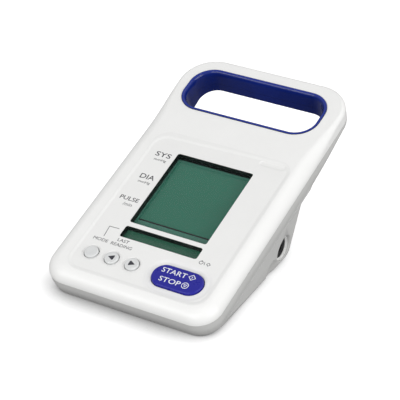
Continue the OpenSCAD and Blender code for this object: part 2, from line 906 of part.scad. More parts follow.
module board_chips() {
  color(dark)
    on_face() {
      chip(-18, 86, 14, 14, 1.4);
      chip(8, 78, 9, 6, 1.4);
      chip(-18, 112, 10, 8, 1.4);
      chip(6, 114, 6, 5, 1.2);
    }
}

// Two capacitors, a crystal and a coil on the back of the board
module board_parts() {
  color([0.55, 0.56, 0.6])
    on_face() {
      for (y = [100, 108])
        translate([-36, y, -board_back - 5.5])
          cylinder(d = 6, h = 5.45);
      chip(-2, 97, 4, 10, 2.4);
      chip(-36, 92, 7, 5, 3);
    }
}

module board_connectors() {
  color([0.92, 0.9, 0.82])
    on_face() {
      chip(-30, 121, 10, 4, 4);
      for (x = lead_x)
        chip(x, lead_y, 7, 4, 4);
    }
}

module board_screws() {
  color([0.7, 0.7, 0.72])
    on_face()
      for (p = board_holes)
        translate([p[0], p[1], 0]) {
          translate([0, 0, -board_back - 1.5])
            cylinder(d = 4, h = 1.45);
          translate([0, 0, -board_back - 0.2])
            cylinder(d = 1.9, h = board_back - 4.6);
        }
}

module pressure_sensors() {
  color([0.2, 0.2, 0.22])
    on_face()
      for (y = sensor_y)
        translate([sensor_x, y, -board_back - 4.5]) {
          translate([-3.6, -3.6, 0])
            cube([7.2, 7.2, 4.45]);
          translate([0, 0, -3.5])
            cylinder(d = port_d, h = 3.6);
        }
}

module buzzer() {
  color(dark)
    on_face()
      difference() {
        translate([-4, 108, -board_back - 4])
          cylinder(d = 9, h = 3.95);
        translate([-4, 108, -board_back - 5])
          cylinder(d = 1.6, h = 2);
      }
}

module case_screws() {
  color([0.72, 0.72, 0.74])
    on_face()
      for (p = concat(posts, grip_posts))
        translate([p[0], p[1], 0])
          difference() {
            union() {
              translate([0, 0, -seat_at(p[1]) - screw_head_t])
                cylinder(d = screw_head_d, h = screw_head_t - 0.03);
              translate([0, 0, -seat_at(p[1]) - 0.2])
                cylinder(d = screw_d - 0.1, h = seat_at(p[1]) - screw_tip);
            }
            for (a = [0, 90])
              rotate([0, 0, a])
                translate([-1.5, -0.35, -seat_at(p[1]) - screw_head_t - 1])
                  cube([3, 0.7, 2]);
          }
}

module battery_cells() {
  color([0.2, 0.5, 0.3])
    on_desk()
      for (i = [0 : cell_count - 1])
        translate([battery_x - cell_l / 2, pack_y + (i - (cell_count - 1) / 2) * cell_d, pack_low + pack_h / 2])
          rotate([0, 90, 0]) {
            cylinder(d = cell_d - 0.1, h = cell_l - 1);
            cylinder(d = 5.5, h = cell_l);
          }
}

// Sleeve shrunk round the four cells, open at both ends
module battery_sleeve() {
  color([0.2, 0.35, 0.65])
    on_desk()
      difference() {
        sleeve_solid(pack_w, pack_h, 0);
        sleeve_solid(pack_w - 2 * sleeve_t, pack_h - 2 * sleeve_t, 1);
      }
}

module sleeve_solid(w, h, extra) {
  translate([battery_x - cell_l / 2 + 1 - extra, pack_y, pack_low + pack_h / 2])
    rotate([90, 0, 90])
      linear_extrude(cell_l - 3 + 2 * extra)
        pill(w, h, h / 2 - 0.01);
}

module battery_lead() {
  color([0.7, 0.1, 0.1])
    on_desk()
      along([[battery_x + 6, pack_y + bay_w / 2 - 6, bay_h + bay_wall + 1.4], [battery_x - 2, pack_y + bay_w / 2 - 4, bay_h + 9],
        [battery_x - 10, pack_y + bay_w / 2 - 3, bay_h + 14]], 1.2, 3, 8);
}

module pump_motor() {
  color([0.75, 0.76, 0.78])
    on_desk()
      translate([pump_x, motor_y + motor_l / 2 - fit, pump_z])
        rotate([90, 0, 0]) {
          cylinder(d = motor_d, h = motor_l - 2 * fit);
          cylinder(d = 6, h = motor_l + 1.6);
        }
}

module pump_head() {
  color([0.85, 0.85, 0.82])
    on_desk() {
      translate([pump_x, head_y + head_l / 2, pump_z])
        rotate([90, 0, 0])
          linear_extrude(head_l)
            pill(head_w, head_w, 4);
      translate([pump_x, pump_port_y, pump_z + head_w / 2 - 1])
        cylinder(d = port_d, h = port_l + 1);
    }
}

// Rubber cradle on the floor, hollowed to the motor, with a pad under the head
module pump_cushion() {
  color([0.15, 0.15, 0.16])
    on_desk()
      difference() {
        translate([pump_x - head_w / 2, motor_y - motor_l / 2 + 2, wall + 0.05])
          cube([head_w, motor_l + head_l - 4, pump_z - wall - 5]);
        translate([pump_x, rear_y, pump_z])
          rotate([90, 0, 0])
            cylinder(d = motor_d + 0.2, h = rear_y);
        translate([pump_x - head_w, head_y - head_l / 2 - 0.3, wall + cushion_t])
          cube([2 * head_w, head_l + 10, head_w]);
      }
}

module pump_strap() {
  color([0.6, 0.61, 0.63])
    on_desk()
      translate([pump_x, motor_y + 4, pump_z])
        rotate([90, 0, 0])
          difference() {
            union() {
              cylinder(d = motor_d + 2, h = 8);
              translate([-head_w / 2 - 1.6, -pump_z + wall + 0.05, 0])
                cube([head_w + 3.2, pump_z - wall - 2.05, 8]);
            }
            translate([0, 0, -1])
              cylinder(d = motor_d + 0.4, h = 10);
            translate([-head_w / 2 - 0.2, -pump_z + wall - 1, -1])
              cube([head_w + 0.4, pump_z - wall - 2.5, 10]);
          }
}

module motor_lead() {
  color([0.15, 0.15, 0.15])
    on_desk()
      along([[pump_x - 5, motor_y - motor_l / 2 - 1.2, pump_z + 4], [pump_x - 6, motor_y - motor_l / 2 - 5, pump_z + 4],
        board_point(lead_x[0], lead_y, board_back + 7), board_point(lead_x[0], lead_y, board_back + 4.3)], 1, 0.8, 8);
}

module release_valve() {
  color([0.3, 0.32, 0.36])
    on_desk() {
      translate([valve_x - valve_w / 2, valve_y - valve_l / 2, wall + 0.05])
        cube([valve_w, valve_l, valve_h]);
      translate([manifold_x, valve_y + valve_l / 2 + port_l, manifold_z])
        rotate([90, 0, 0])
          cylinder(d = port_d, h = port_l + 1);
    }
}

module valve_lead() {
  color([0.85, 0.8, 0.2])
    on_desk()
      along([[valve_x, valve_y - 4, wall + valve_h + 1], [valve_x, valve_y - 3, wall + valve_h + 3.5],
        board_point(lead_x[1], lead_y, board_back + 7), board_point(lead_x[1], lead_y, board_back + 4.3)], 0.9, 0.8, 8);
}

// Block with a port for each hose
module air_manifold() {
  color([0.88, 0.88, 0.86])
    on_desk() {
      translate([manifold_x - manifold_w / 2, manifold_y - manifold_l / 2, wall + 0.05])
        cube([manifold_w, manifold_l, manifold_top - wall - 0.05]);
      for (i = [-1 : 1])
        translate([manifold_x, manifold_y + i * port_pitch, manifold_top - 1])
          cylinder(d = port_d, h = manifold_port + 1);
      translate([manifold_x, manifold_y + manifold_l / 2 + manifold_port, manifold_z])
        rotate([90, 0, 0])
          cylinder(d = port_d, h = manifold_l + 2 * manifold_port);
    }
}

module cuff_jack() {
  color(dark)
    on_desk()
      difference() {
        union() {
          translate([jack_end_x, jack_y, jack_z])
            rotate([0, 90, 0])
              cylinder(d = jack_barrel_d, h = recess_x - jack_end_x + 0.1);
          translate([recess_x + 0.05, jack_y, jack_z])
            rotate([0, 90, 0])
              cylinder(d = recess_d - 0.3, h = jack_flange_t);
          translate([jack_elbow_x, jack_elbow_y, jack_z])
            rotate([-90, 0, 0])
              cylinder(d = port_d, h = jack_y - jack_elbow_y);
        }
        translate([recess_x + jack_flange_t - jack_bore_h, jack_y, jack_z])
          rotate([0, 90, 0])
            cylinder(r = jack_bore_r, h = 2 * jack_bore_h);
      }
}

module cuff_jack_nut() {
  color([0.7, 0.66, 0.4])
    on_desk()
      translate([recess_x - wall - 0.1, jack_y, jack_z])
        rotate([0, -90, 0])
          difference() {
            cylinder(d = 14.5, h = 2.4, $fn = 6);
            translate([0, 0, -1])
              cylinder(d = jack_barrel_d + 0.1, h = 5);
          }
}

module dc_jack() {
  color(dark)
    on_desk()
      difference() {
        union() {
          translate([-dc_face_x + 2.6, dc_y - dc_w / 2, dc_z - dc_h / 2])
            cube([dc_l, dc_w, dc_h]);
          translate([-dc_face_x + 0.6, dc_y, dc_z])
            rotate([0, 90, 0])
              cylinder(r = dc_bore_r + 0.8, h = 3);
        }
        translate([-dc_face_x - 1, dc_y, dc_z])
          rotate([0, 90, 0])
            cylinder(r = dc_bore_r, h = 10.5);
      }
}

module dc_jack_pin() {
  color([0.8, 0.8, 0.8])
    on_desk()
      translate([-dc_face_x + 2, dc_y, dc_z])
        rotate([0, 90, 0])
          cylinder(r = dc_pin_r, h = 7.48);
}

module stand_inserts() {
  color([0.78, 0.65, 0.35])
    on_desk()
      for (s = [-1, 1])
        translate([s * insert_pitch / 2, insert_y, 0.2])
          difference() {
            cylinder(r = insert_out_r - 0.02, h = insert_l - 0.25);
            translate([0, 0, -1])
              cylinder(r = insert_r, h = insert_l + 2);
          }
}

module foot_places() {
  for (s = [-1, 1]) {
    translate([s * (side_x(foot_front_y, 0) - floor_edge - foot_d / 2 - 12), foot_front_y, 0])
      children();
    translate([s * (side_x(foot_rear_y, 0) - floor_edge - foot_d / 2 - 0.3), foot_rear_y, 0])
      children();
  }
}

module rubber_feet() {
  color([0.25, 0.25, 0.26])
    on_desk()
      foot_places() {
        translate([0, 0, -foot_h])
          cylinder(d1 = foot_d - 1, d2 = foot_d, h = 0.5);
        translate([0, 0, -foot_h + 0.5])
          cylinder(d = foot_d, h = foot_h + foot_in - 0.55);
      }
}

// A point of the back of the board, seen from the base
function board_point(x, y, depth) = [x, y * cos(tilt) + depth * sin(tilt), lift + y * sin(tilt) - depth * cos(tilt)];

module hose(path, bend_r) {
  color([0.8, 0.8, 0.78, 0.7])
    on_desk()
      along(path, hose_d / 2, bend_r);
}

module hose_pump() {
  top = pump_z + head_w / 2 + port_l;
  low = manifold_top + manifold_port;
  port_y = manifold_y - port_pitch;
  hose([[pump_x, pump_port_y, top], [pump_x, pump_port_y, top + 3], [pump_x + 4, pump_port_y - 7, top + 0.5],
    [manifold_x - 8, port_y + 3, low + 8], [manifold_x, port_y, low + 4], [manifold_x, port_y, low]], 1.6);
}

module hose_jack() {
  hose([[jack_elbow_x, jack_elbow_y, jack_z], [jack_elbow_x, jack_elbow_y - 2, jack_z],
    [manifold_x, manifold_y + manifold_l / 2 + manifold_port, manifold_z]], 0.5);
}

module hose_valve() {
  hose([[manifold_x, valve_y + valve_l / 2 + port_l, manifold_z], [manifold_x, valve_y + valve_l / 2 + port_l + 1.5, manifold_z],
    [manifold_x, manifold_y - manifold_l / 2 - manifold_port, manifold_z]], 0.5);
}

module hose_to_sensor(port, y, up, down) {
  start = [manifold_x, manifold_y + port * port_pitch, manifold_top + manifold_port];
  hose([start, start + [0, 0, up], board_point(sensor_x, y, board_back + 8.1 + down),
    board_point(sensor_x, y, board_back + 8.1)], 1.2);
}

module hose_sensor_front() {
  hose_to_sensor(0, sensor_y[0], 1.6, 2.4);
}

module hose_sensor_rear() {
  hose_to_sensor(1, sensor_y[1], 4, 4);
}

front_case();
rear_case();
handle_ring();
handle_ring_rear();
face_panel();
display_window();
lcd_frame();
lcd_glass();
lcd_backlight();
lcd_contact_strips();
mode_button();
back_button();
forward_button();
start_stop_button();
key_mat();
main_board();
board_chips();
board_parts();
board_connectors();
board_screws();
pressure_sensors();
buzzer();
case_screws();
battery_cells();
battery_sleeve();
battery_lead();
battery_cover();
pump_motor();
pump_head();
pump_cushion();
pump_strap();
motor_lead();
release_valve();
valve_lead();
air_manifold();
hose_pump();
hose_jack();
hose_valve();
hose_sensor_front();
hose_sensor_rear();
cuff_jack();
cuff_jack_nut();
dc_jack();
dc_jack_pin();
stand_inserts();
rubber_feet();
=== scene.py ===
"""A professional blood pressure monitor with a carry handle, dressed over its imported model."""

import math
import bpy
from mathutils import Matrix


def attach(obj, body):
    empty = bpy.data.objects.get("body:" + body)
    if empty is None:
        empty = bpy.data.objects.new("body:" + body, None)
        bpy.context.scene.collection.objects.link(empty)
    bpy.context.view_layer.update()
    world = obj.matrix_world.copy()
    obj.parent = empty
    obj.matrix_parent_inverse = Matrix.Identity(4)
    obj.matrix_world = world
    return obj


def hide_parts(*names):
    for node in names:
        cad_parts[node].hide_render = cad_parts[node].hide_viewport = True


bl_info = {
    "name": "Blood pressure monitor",
    "version": (1, 0, 0),
    "blender": (4, 5, 0),
    "location": "3D View > Sidebar > Monitor",
    "description": "Builds the visible shells, keys, display and finishes of a desk blood pressure monitor",
    "category": "Object",
}

import bmesh
import bpy
from mathutils import Matrix, Vector

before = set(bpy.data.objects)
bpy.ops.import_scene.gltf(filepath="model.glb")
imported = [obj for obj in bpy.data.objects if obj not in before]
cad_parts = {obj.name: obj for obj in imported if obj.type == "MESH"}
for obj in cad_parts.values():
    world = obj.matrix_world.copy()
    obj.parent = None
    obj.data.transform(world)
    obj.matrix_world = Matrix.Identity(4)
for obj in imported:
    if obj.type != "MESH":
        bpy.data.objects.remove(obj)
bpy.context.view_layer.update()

# Sizes and places, in millimetres

# Tilt of the face, height of its toe over the underside, height of the feet, and the shift to the middle
TILT = math.radians(18.7)
LIFT = 17.8147
FOOT = 1.2
SHIFT = -102.354
# Face frame: u across, v up the face from the toe, n out of the face
FACE = (
    Matrix.Scale(0.001, 4)
    @ Matrix.Translation((0, SHIFT, LIFT + FOOT))
    @ Matrix.Rotation(TILT, 4, "X")
)
# Desk frame: x across, y from the toe to the rear, z up from the underside
DESK = Matrix.Scale(0.001, 4) @ Matrix.Translation((0, SHIFT, FOOT))
BODY_W = 123.0
BODY_L = 209.6
TOE_R = 16.0
TOP_R = 24.0
PARTING = -9.0
WALL = 2.4
# Shapes on the face: middle across and up, width, length and corner radius
GRIP = (-1.2, 179.2, 102.8, 40.8, 16.5)
PANEL = (2.5, 71.5, 101.0, 127.0, 11.0)
MAIN_WINDOW = (2.4, 86.95, 56.0, 64.5, 1.6)
STRIP_WINDOW = (2.4, 46.6, 56.0, 9.6, 1.6)
START = (27.7, 23.1, 35.0, 16.8, 8.38)
# The small keys' middles and radius, and the gap round every key
KEY_V = 23.9
KEY_U = (-35.3, -20.4, -5.5)
KEY_R = 4.6
GAP = 0.5
# Up the face from here to the handle's corners, the shoulder grows tighter
NARROW_FROM = 138.0
CORNER_STEPS = 18
SIDE_STEPS = 7
# Lower shell: how far its sides roll in under the parting, and over what depth
SIDE_ROLL = 1.9
ROLL_DEPTH = 11.5
ROLL_STEPS = 10
# How much the handle's lining closes in for each millimetre of depth
RING_DRAFT = 0.9 / 23.4
# Height of a case screw's head
SCREW_HEAD = 1.95
# Cuff socket and the scoop before it, on the desk frame
SOCKET = (56.4, 105.6, 11.8)
SOCKET_MOUTH = ((8.5, -1.0), (8.5, -0.45), (9.25, 0.35), (10.4, 3.0))
SOCKET_COLLAR_R = 8.42
SOCKET_COLLAR = (
    (0.0, -2.35), (0.0, -1.1), (-0.2, -0.95), (-0.6, -1.0), (-0.7, -1.6), (-1.3, -1.75), (-1.4, -2.35),
)
SCOOP = (70.4, 90.5, 1.5)
SCOOP_R = 16.0
# Soft dimple in the panel's upper right
DIMPLE = (38.6, 129.6, 19.0, 4.2, 2.1)
DIMPLE_R = 1.7
DIMPLE_DEPTH = 0.35
# The panel hollow's upper rim: its height, then how far it climbs and steps up, and between which places
HOLLOW_TOP = 131.6
HOLLOW_CLIMB = (1.8, -46.0, 20.0)
HOLLOW_STEP = (1.3, 23.0, 29.0)
# Display, under the face: levels of its glass and of the print on it, and the print's outer and inner edges
DISPLAY_N = -4.7
PRINT_N = -4.66
PRINT_OUTSIDE = (2.4, 80.5, 62.0, 83.4, 1.0)
PRINT_INSIDE = (3.0, 79.5, 57.4, 76.4, 1.6)
# The panel's white against the shell's
PANEL_SHADE = 0.965
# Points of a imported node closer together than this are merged
SAME_POINT = 0.0008


# Settings


class MonitorSizes(bpy.types.PropertyGroup):
    shoulder: bpy.props.FloatProperty(
        name="Shoulder", description="Radius of the soft shoulder round the face",
        default=0.009, min=0.004, max=0.009, precision=5, subtype="DISTANCE",
    )
    handle_shoulder: bpy.props.FloatProperty(
        name="Handle shoulder", description="Radius of the shoulder beside the handle",
        default=0.003, min=0.002, max=0.009, precision=5, subtype="DISTANCE",
    )
    panel_depth: bpy.props.FloatProperty(
        name="Panel depth", description="How far the panel lies below the face",
        default=0.00045, min=0.0001, max=0.0006, precision=5, subtype="DISTANCE",
    )
    panel_cove: bpy.props.FloatProperty(
        name="Panel cove", description="Width of the soft rise round the panel",
        default=0.0026, min=0.0005, max=0.005, precision=5, subtype="DISTANCE",
    )
    start_crown: bpy.props.FloatProperty(
        name="Key crown", description="How far the wide key is crowned",
        default=0.00025, min=0.0, max=0.0006, precision=5, subtype="DISTANCE",
    )
    legend_depth: bpy.props.FloatProperty(
        name="Print thickness", description="Thickness of the printed legends",
        default=0.00003, min=0.00001, max=0.0001, precision=5, subtype="DISTANCE",
    )


class MonitorColours(bpy.types.PropertyGroup):
    white: bpy.props.FloatVectorProperty(
        name="White shell", description="Colour of the upper shell",
        default=(0.84, 0.84, 0.83), min=0, max=1, subtype="COLOR",
    )
    grey: bpy.props.FloatVectorProperty(
        name="Grey shell", description="Colour of the lower shell",
        default=(0.58, 0.58, 0.57), min=0, max=1, subtype="COLOR",
    )
    ring: bpy.props.FloatVectorProperty(
        name="Handle ring", description="Colour of the ring inside the handle",
        default=(0.009, 0.026, 0.24), min=0, max=1, subtype="COLOR",
    )
    key_blue: bpy.props.FloatVectorProperty(
        name="Wide key", description="Colour of the wide start and stop key",
        default=(0.016, 0.016, 0.27), min=0, max=1, subtype="COLOR",
    )
    key_grey: bpy.props.FloatVectorProperty(
        name="Small keys", description="Colour of the three small keys",
        default=(0.66, 0.67, 0.67), min=0, max=1, subtype="COLOR",
    )
    display: bpy.props.FloatVectorProperty(
        name="Display", description="Colour of the unlit display",
        default=(0.03, 0.15, 0.1), min=0, max=1, subtype="COLOR",
    )
    ink: bpy.props.FloatVectorProperty(
        name="Legends", description="Colour of the printed legends",
        default=(0.035, 0.035, 0.045), min=0, max=1, subtype="COLOR",
    )


def mm(length):
    """A length of the settings in millimetres, in which the meshes are drawn."""
    return round(length * 1000.0, 4)


# Finishes

finishes = {}
BLACK = (0.0, 0.0, 0.0)
# Every finish: size and share of its small specks, width of its painted edge highlights and how much lighter
# they are
SPECK_MM = 1.7
SPECK_SHARE = 0.35
EDGE_HIGHLIGHT_MM = 0.35
EDGE_HIGHLIGHT_LIFT = 0.35


def node(tree, kind, **values):
    n = tree.nodes.new(kind)
    for key, value in values.items():
        if key in n.inputs:
            n.inputs[key].default_value = value
        else:
            setattr(n, key, value)
    return n


def fed(tree, kind, inputs, output=0, **values):
    """The output of a new node, with each listed input linked to a socket or set to a value."""
    n = node(tree, kind, **values)
    for key, value in inputs:
        if isinstance(value, bpy.types.NodeSocket):
            tree.links.new(value, n.inputs[key])
        else:
            n.inputs[key].default_value = value
    return n.outputs[output]


def worked(tree, operation, *inputs):
    """The result of a Math node on values or sockets."""
    return fed(tree, "ShaderNodeMath", enumerate(inputs), operation=operation)


def mixed(tree, share, a, b):
    """A colour between two others, each a value or a socket."""
    return fed(tree, "ShaderNodeMix", ((0, share), (6, a), (7, b)), 2, data_type="RGBA")


def opaque(colour):
    return (*colour, 1.0)


def noise(tree, place, size_mm, detail=3.0):
    values = {"Scale": 1000.0 / size_mm, "Detail": detail, "Roughness": 0.55}
    return fed(tree, "ShaderNodeTexNoise", [("Vector", place)], "Fac", **values)


def slanted(tree, place, lean):
    """How far up or back a point lies, with a share of its distance to the right."""
    split = tree.nodes.new("ShaderNodeSeparateXYZ")
    tree.links.new(place, split.inputs[0])
    return worked(tree, "MULTIPLY_ADD", split.outputs["X"], lean, split.outputs["Y"])


def ramp(tree, source, low, high, to_low, to_high):
    """A socket's value carried from one range to another."""
    return fed(tree, "ShaderNodeMapRange", enumerate((source, low, high, to_low, to_high)))


def bare_finish(name):
    """A new finish with only the output and the object's own coordinates."""
    m = bpy.data.materials.new(name)
    m.use_nodes = True
    tree = m.node_tree
    tree.nodes.clear()
    out = tree.nodes.new("ShaderNodeOutputMaterial")
    place = tree.nodes.new("ShaderNodeTexCoord")
    return m, tree, out.inputs["Surface"], place.outputs["Object"]


def moulded(
    name, colour, roughness, spread=0.05, grain_mm=0.35, grain=0.01, mottle=0.03, cloud_mm=22.0,
    metallic=0.0, edge=0.0, alpha=1.0, specular=0.5,
):
    """A moulded, cast or painted finish: clouded colour, uneven gloss, fine grain and painted highlights on
    its edges.
    """
    if name in finishes:
        return finishes[name]
    m, tree, surface, place = bare_finish(name)
    link = tree.links.new
    shader = node(tree, "ShaderNodeBsdfPrincipled", Metallic=metallic, Alpha=alpha)
    shader.inputs["Specular IOR Level"].default_value = specular
    link(shader.outputs["BSDF"], surface)
    clouds = noise(tree, place, cloud_mm)
    specks = noise(tree, place, SPECK_MM, 5.0)
    fine = noise(tree, place, grain_mm, 2.0)
    both = worked(tree, "MULTIPLY_ADD", specks, SPECK_SHARE, clouds)
    darker = tuple(c * (1 - mottle) for c in colour)
    lighter = tuple(min(1.0, c * (1 + mottle)) for c in colour)
    paint = mixed(tree, ramp(tree, both, 0.45, 0.9, 0.0, 1.0), opaque(darker), opaque(lighter))
    # Painted highlight: the colour turns lighter on edges, where the bevelled normal leans away from the plain
    # one
    if edge:
        soft = node(tree, "ShaderNodeBevel", samples=4, Radius=EDGE_HIGHLIGHT_MM * 0.001)
        plain = tree.nodes.new("ShaderNodeNewGeometry")
        normals = enumerate((soft.outputs["Normal"], plain.outputs["Normal"]))
        dot = fed(tree, "ShaderNodeVectorMath", normals, "Value", operation="DOT_PRODUCT")
        edge_highlight = tuple(min(1.0, c + (1 - c) * EDGE_HIGHLIGHT_LIFT) for c in colour)
        paint = mixed(tree, ramp(tree, dot, 0.985, 0.8, 0.0, edge), paint, opaque(edge_highlight))
    link(paint, shader.inputs["Base Color"])
    low = max(0.02, roughness - spread)
    link(ramp(tree, specks, 0.3, 0.7, low, roughness + spread), shader.inputs["Roughness"])
    bump = fed(tree, "ShaderNodeBump", [("Height", fine)], Strength=0.5, Distance=grain * 0.001)
    link(bump, shader.inputs["Normal"])
    finishes[name] = m
    return m


def base_colour(material):
    """The input that colours a finish, and the socket that feeds it."""
    shader = next(n for n in material.node_tree.nodes if n.type == "BSDF_PRINCIPLED")
    coloured = shader.inputs["Base Color"]
    return coloured, coloured.links[0].from_socket


def painted_hollow_shade(material, reach_mm, power):
    """Paints shade into a finish's colour where its surface is closed in, such as a wall inside an opening."""
    tree = material.node_tree
    coloured, old = base_colour(material)
    near = node(tree, "ShaderNodeAmbientOcclusion", samples=8, Distance=reach_mm * 0.001)
    deep = worked(tree, "POWER", near.outputs["AO"], power)
    tree.links.new(mixed(tree, deep, opaque(BLACK), old), coloured)


def display_finish(name, colour):
    """Unlit display glass: a clouded green ground, with a painted sheen a shade lighter towards its upper
    left.
    """
    m = moulded(name, colour, roughness=0.22, spread=0.03, grain=0.0, mottle=0.06, cloud_mm=60.0)
    tree = m.node_tree
    coloured, old = base_colour(m)
    place = next(n for n in tree.nodes if n.type == "TEX_COORD")
    across = slanted(tree, place.outputs["Object"], -0.6)
    # Painted sheen: the green turns a shade lighter towards the upper left
    painted_sheen = opaque(c * 1.18 for c in colour)
    tree.links.new(mixed(tree, ramp(tree, across, -0.08, 0.03, 0.0, 1.0), old, painted_sheen), coloured)
    return m


# Mesh making


def eased(t):
    """A soft step from 0 to 1."""
    t = min(max(t, 0.0), 1.0)
    return t * t * (3 - 2 * t)


def pill(u, v, w, l, r, n, steps=14):
    """Points of a rounded rectangle round its middle at one height, anticlockwise."""
    r = max(min(r, w / 2, l / 2), 0.02)
    points = []
    for x, y, start in ((1, -1, -90), (1, 1, 0), (-1, 1, 90), (-1, -1, 180)):
        for k in range(steps + 1):
            a = math.radians(start + 90 * k / steps)
            across = x * (w / 2 - r) + r * math.cos(a)
            along = y * (l / 2 - r) + r * math.sin(a)
            points.append((u + across, v + along, n))
    return points


def grown(shape, by, n, steps=14):
    """The rounded rectangle moved out by a distance, at one height."""
    u, v, w, l, r = shape
    return pill(u, v, w + 2 * by, l + 2 * by, r + by, n, steps)


def loft(name, rings, closed=False):
    """A mesh through rings of equal count, from the lowest up, capped or joined round into a band."""
    count = len(rings[0])
    points = [p for ring in rings for p in ring]
    faces = []
    last = len(rings) if closed else len(rings) - 1
    for i in range(last):
        j = (i + 1) % len(rings)
        for k in range(count):
            m = (k + 1) % count
            faces.append((i * count + k, i * count + m, j * count + m, j * count + k))
    if not closed:
        faces.append(tuple(range(count - 1, -1, -1)))
        faces.append(tuple((len(rings) - 1) * count + k for k in range(count)))
    mesh = bpy.data.meshes.new(name)
    mesh.from_pydata(points, [], faces)
    return mesh


def stacked(name, shape, profile, steps=14, closed=False):
    """A rounded rectangle lofted through a profile of (growth, height) pairs."""
    return loft(name, [grown(shape, g, n, steps) for g, n in profile], closed)


def round_shape(u, v, r):
    return (u, v, 2 * r, 2 * r, r)


def tidy(mesh, merge=0.0004):
    """Merges doubles, drops flat faces and points every face outwards."""
    bm = bmesh.new()
    bm.from_mesh(mesh)
    bmesh.ops.remove_doubles(bm, verts=bm.verts, dist=merge)
    bmesh.ops.dissolve_degenerate(bm, edges=bm.edges, dist=merge)
    bmesh.ops.recalc_face_normals(bm, faces=bm.faces)
    bm.to_mesh(mesh)
    bm.free()


def placed(name, mesh):
    obj = bpy.data.objects.new(name, mesh)
    bpy.context.scene.collection.objects.link(obj)
    return obj


def made(mesh, merge=0.0004):
    """An object of a mesh and its name, tidied."""
    tidy(mesh, merge)
    return placed(mesh.name, mesh)


def as_mesh(obj):
    """A plain mesh of an object as its modifiers or its letters make it."""
    bpy.context.view_layer.update()
    return bpy.data.meshes.new_from_object(obj.evaluated_get(bpy.context.evaluated_depsgraph_get()))


def settle(obj):
    """Turns an object's modifiers into plain mesh."""
    mesh = as_mesh(obj)
    obj.modifiers.clear()
    old = obj.data
    obj.data = mesh
    mesh.name = obj.name
    bpy.data.meshes.remove(old)


def carve(obj, meshes, operation="DIFFERENCE"):
    """Cuts each mesh out of the object, or joins it on, and removes the tool used."""
    for mesh in meshes:
        tidy(mesh)
        tool = placed("tool", mesh)
        mod = obj.modifiers.new("carve", "BOOLEAN")
        mod.operation = operation
        mod.solver = "EXACT"
        mod.object = tool
        settle(obj)
        bpy.data.objects.remove(tool)
        bpy.data.meshes.remove(mesh)


def shade(obj, angle):
    """Smooth shading with sharp edges past an angle, and normals that follow the large faces."""
    mesh = obj.data
    mesh.shade_smooth()
    mesh.set_sharp_from_angle(angle=math.radians(angle))
    mod = obj.modifiers.new("normals", "WEIGHTED_NORMAL")
    mod.keep_sharp = True
    mod.weight = 60
    settle(obj)


def recoat(obj, material):
    """Leaves an object with one finish."""
    obj.data.materials.clear()
    obj.data.materials.append(material)


def finish_piece(obj, material, body="monitor", nodes=(), matrix=FACE, angle=30):
    """Moves a finished mesh into the shared frame, hangs it on the body it rides on and hides the imported
    parts it stands for.
    """
    obj.data.transform(matrix)
    if angle:
        shade(obj, angle)
    recoat(obj, material)
    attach(obj, body)
    if nodes:
        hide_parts(*nodes)


def round_edges(obj, width, segments):
    mod = obj.modifiers.new("edges", "BEVEL")
    mod.width = width
    mod.segments = segments
    mod.limit_method = "ANGLE"
    mod.angle_limit = math.radians(40)
    mod.use_clamp_overlap = True
    settle(obj)


def copied(node_name, piece, matrix, flat_degrees=0.0):
    """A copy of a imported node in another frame, its doubles merged and, given an angle, its flats joined."""
    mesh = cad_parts[node_name].data.copy()
    mesh.transform(matrix)
    bm = bmesh.new()
    bm.from_mesh(mesh)
    bmesh.ops.remove_doubles(bm, verts=bm.verts, dist=SAME_POINT)
    if flat_degrees:
        flat = math.radians(flat_degrees)
        bmesh.ops.dissolve_limit(bm, angle_limit=flat, verts=bm.verts, edges=bm.edges, delimit={"NORMAL"})
    bm.to_mesh(mesh)
    bm.free()
    return placed(piece, mesh)


def dressed(node_name, piece, material, body="monitor", width=0.0, segments=2, angle=32):
    """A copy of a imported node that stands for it, with its edges rounded and smooth normals."""
    obj = copied(node_name, piece, Matrix.Scale(1000.0, 4), 0.4)
    if width:
        round_edges(obj, width, segments)
    finish_piece(obj, material, body, (node_name,), Matrix.Scale(0.001, 4), angle)


# Shells


def shoulder_ring(share, sizes, inset_more=0.0):
    """One outline of the upper shell, share 0 at the parting and 1 on the face; tighter beside the handle."""
    a = math.radians(90 * share)
    narrowing = BODY_L - TOP_R - NARROW_FROM
    wide, tight = mm(sizes.shoulder), mm(sizes.handle_shoulder)

    def at(v):
        r = wide + (tight - wide) * eased((v - NARROW_FROM) / narrowing)
        inset = r - (r - inset_more) * math.cos(a)
        return inset, -r + (r - inset_more) * math.sin(a)

    points = []
    sides = [60.0, 100.0] + [NARROW_FROM + narrowing * k / SIDE_STEPS for k in range(SIDE_STEPS)]
    for x, y, start in ((1, 0, -90), (1, 1, 0), (-1, 1, 90), (-1, 0, 180)):
        if (x, y) == (-1, 0):
            for v in reversed(sides):
                inset, n = at(v)
                points.append((-(BODY_W / 2 - inset), v, n))
        r = TOP_R if y else TOE_R
        middle_v = BODY_L - TOP_R if y else TOE_R
        inset, n = at(middle_v)
        for k in range(CORNER_STEPS + 1):
            t = math.radians(start + 90 / CORNER_STEPS * k)
            across = x * (BODY_W / 2 - r) + (r - inset) * math.cos(t)
            points.append((across, middle_v + (r - inset) * math.sin(t), n))
        if (x, y) == (1, 0):
            for v in sides:
                inset, n = at(v)
                points.append((BODY_W / 2 - inset, v, n))
    return points


def flat_ring(inset, n):
    """The shells' outline at one height, moved in by a distance."""
    ring = shoulder_ring(0.0, bpy.context.scene.monitor_sizes, inset)
    return [(x, y, n) for x, y, _ in ring]


def openings(floor, wider, key_steps):
    """Tools for the windows, wider by a distance, and for the four key holes."""
    tools = [stacked("window", w, [(wider, floor), (wider, 3)], 4) for w in (MAIN_WINDOW, STRIP_WINDOW)]
    hole = [(GAP, floor), (GAP, 3)]
    tools.append(stacked("start", START, hole, 12))
    return tools + [stacked("key", round_shape(u, KEY_V, KEY_R), hole, key_steps) for u in KEY_U]


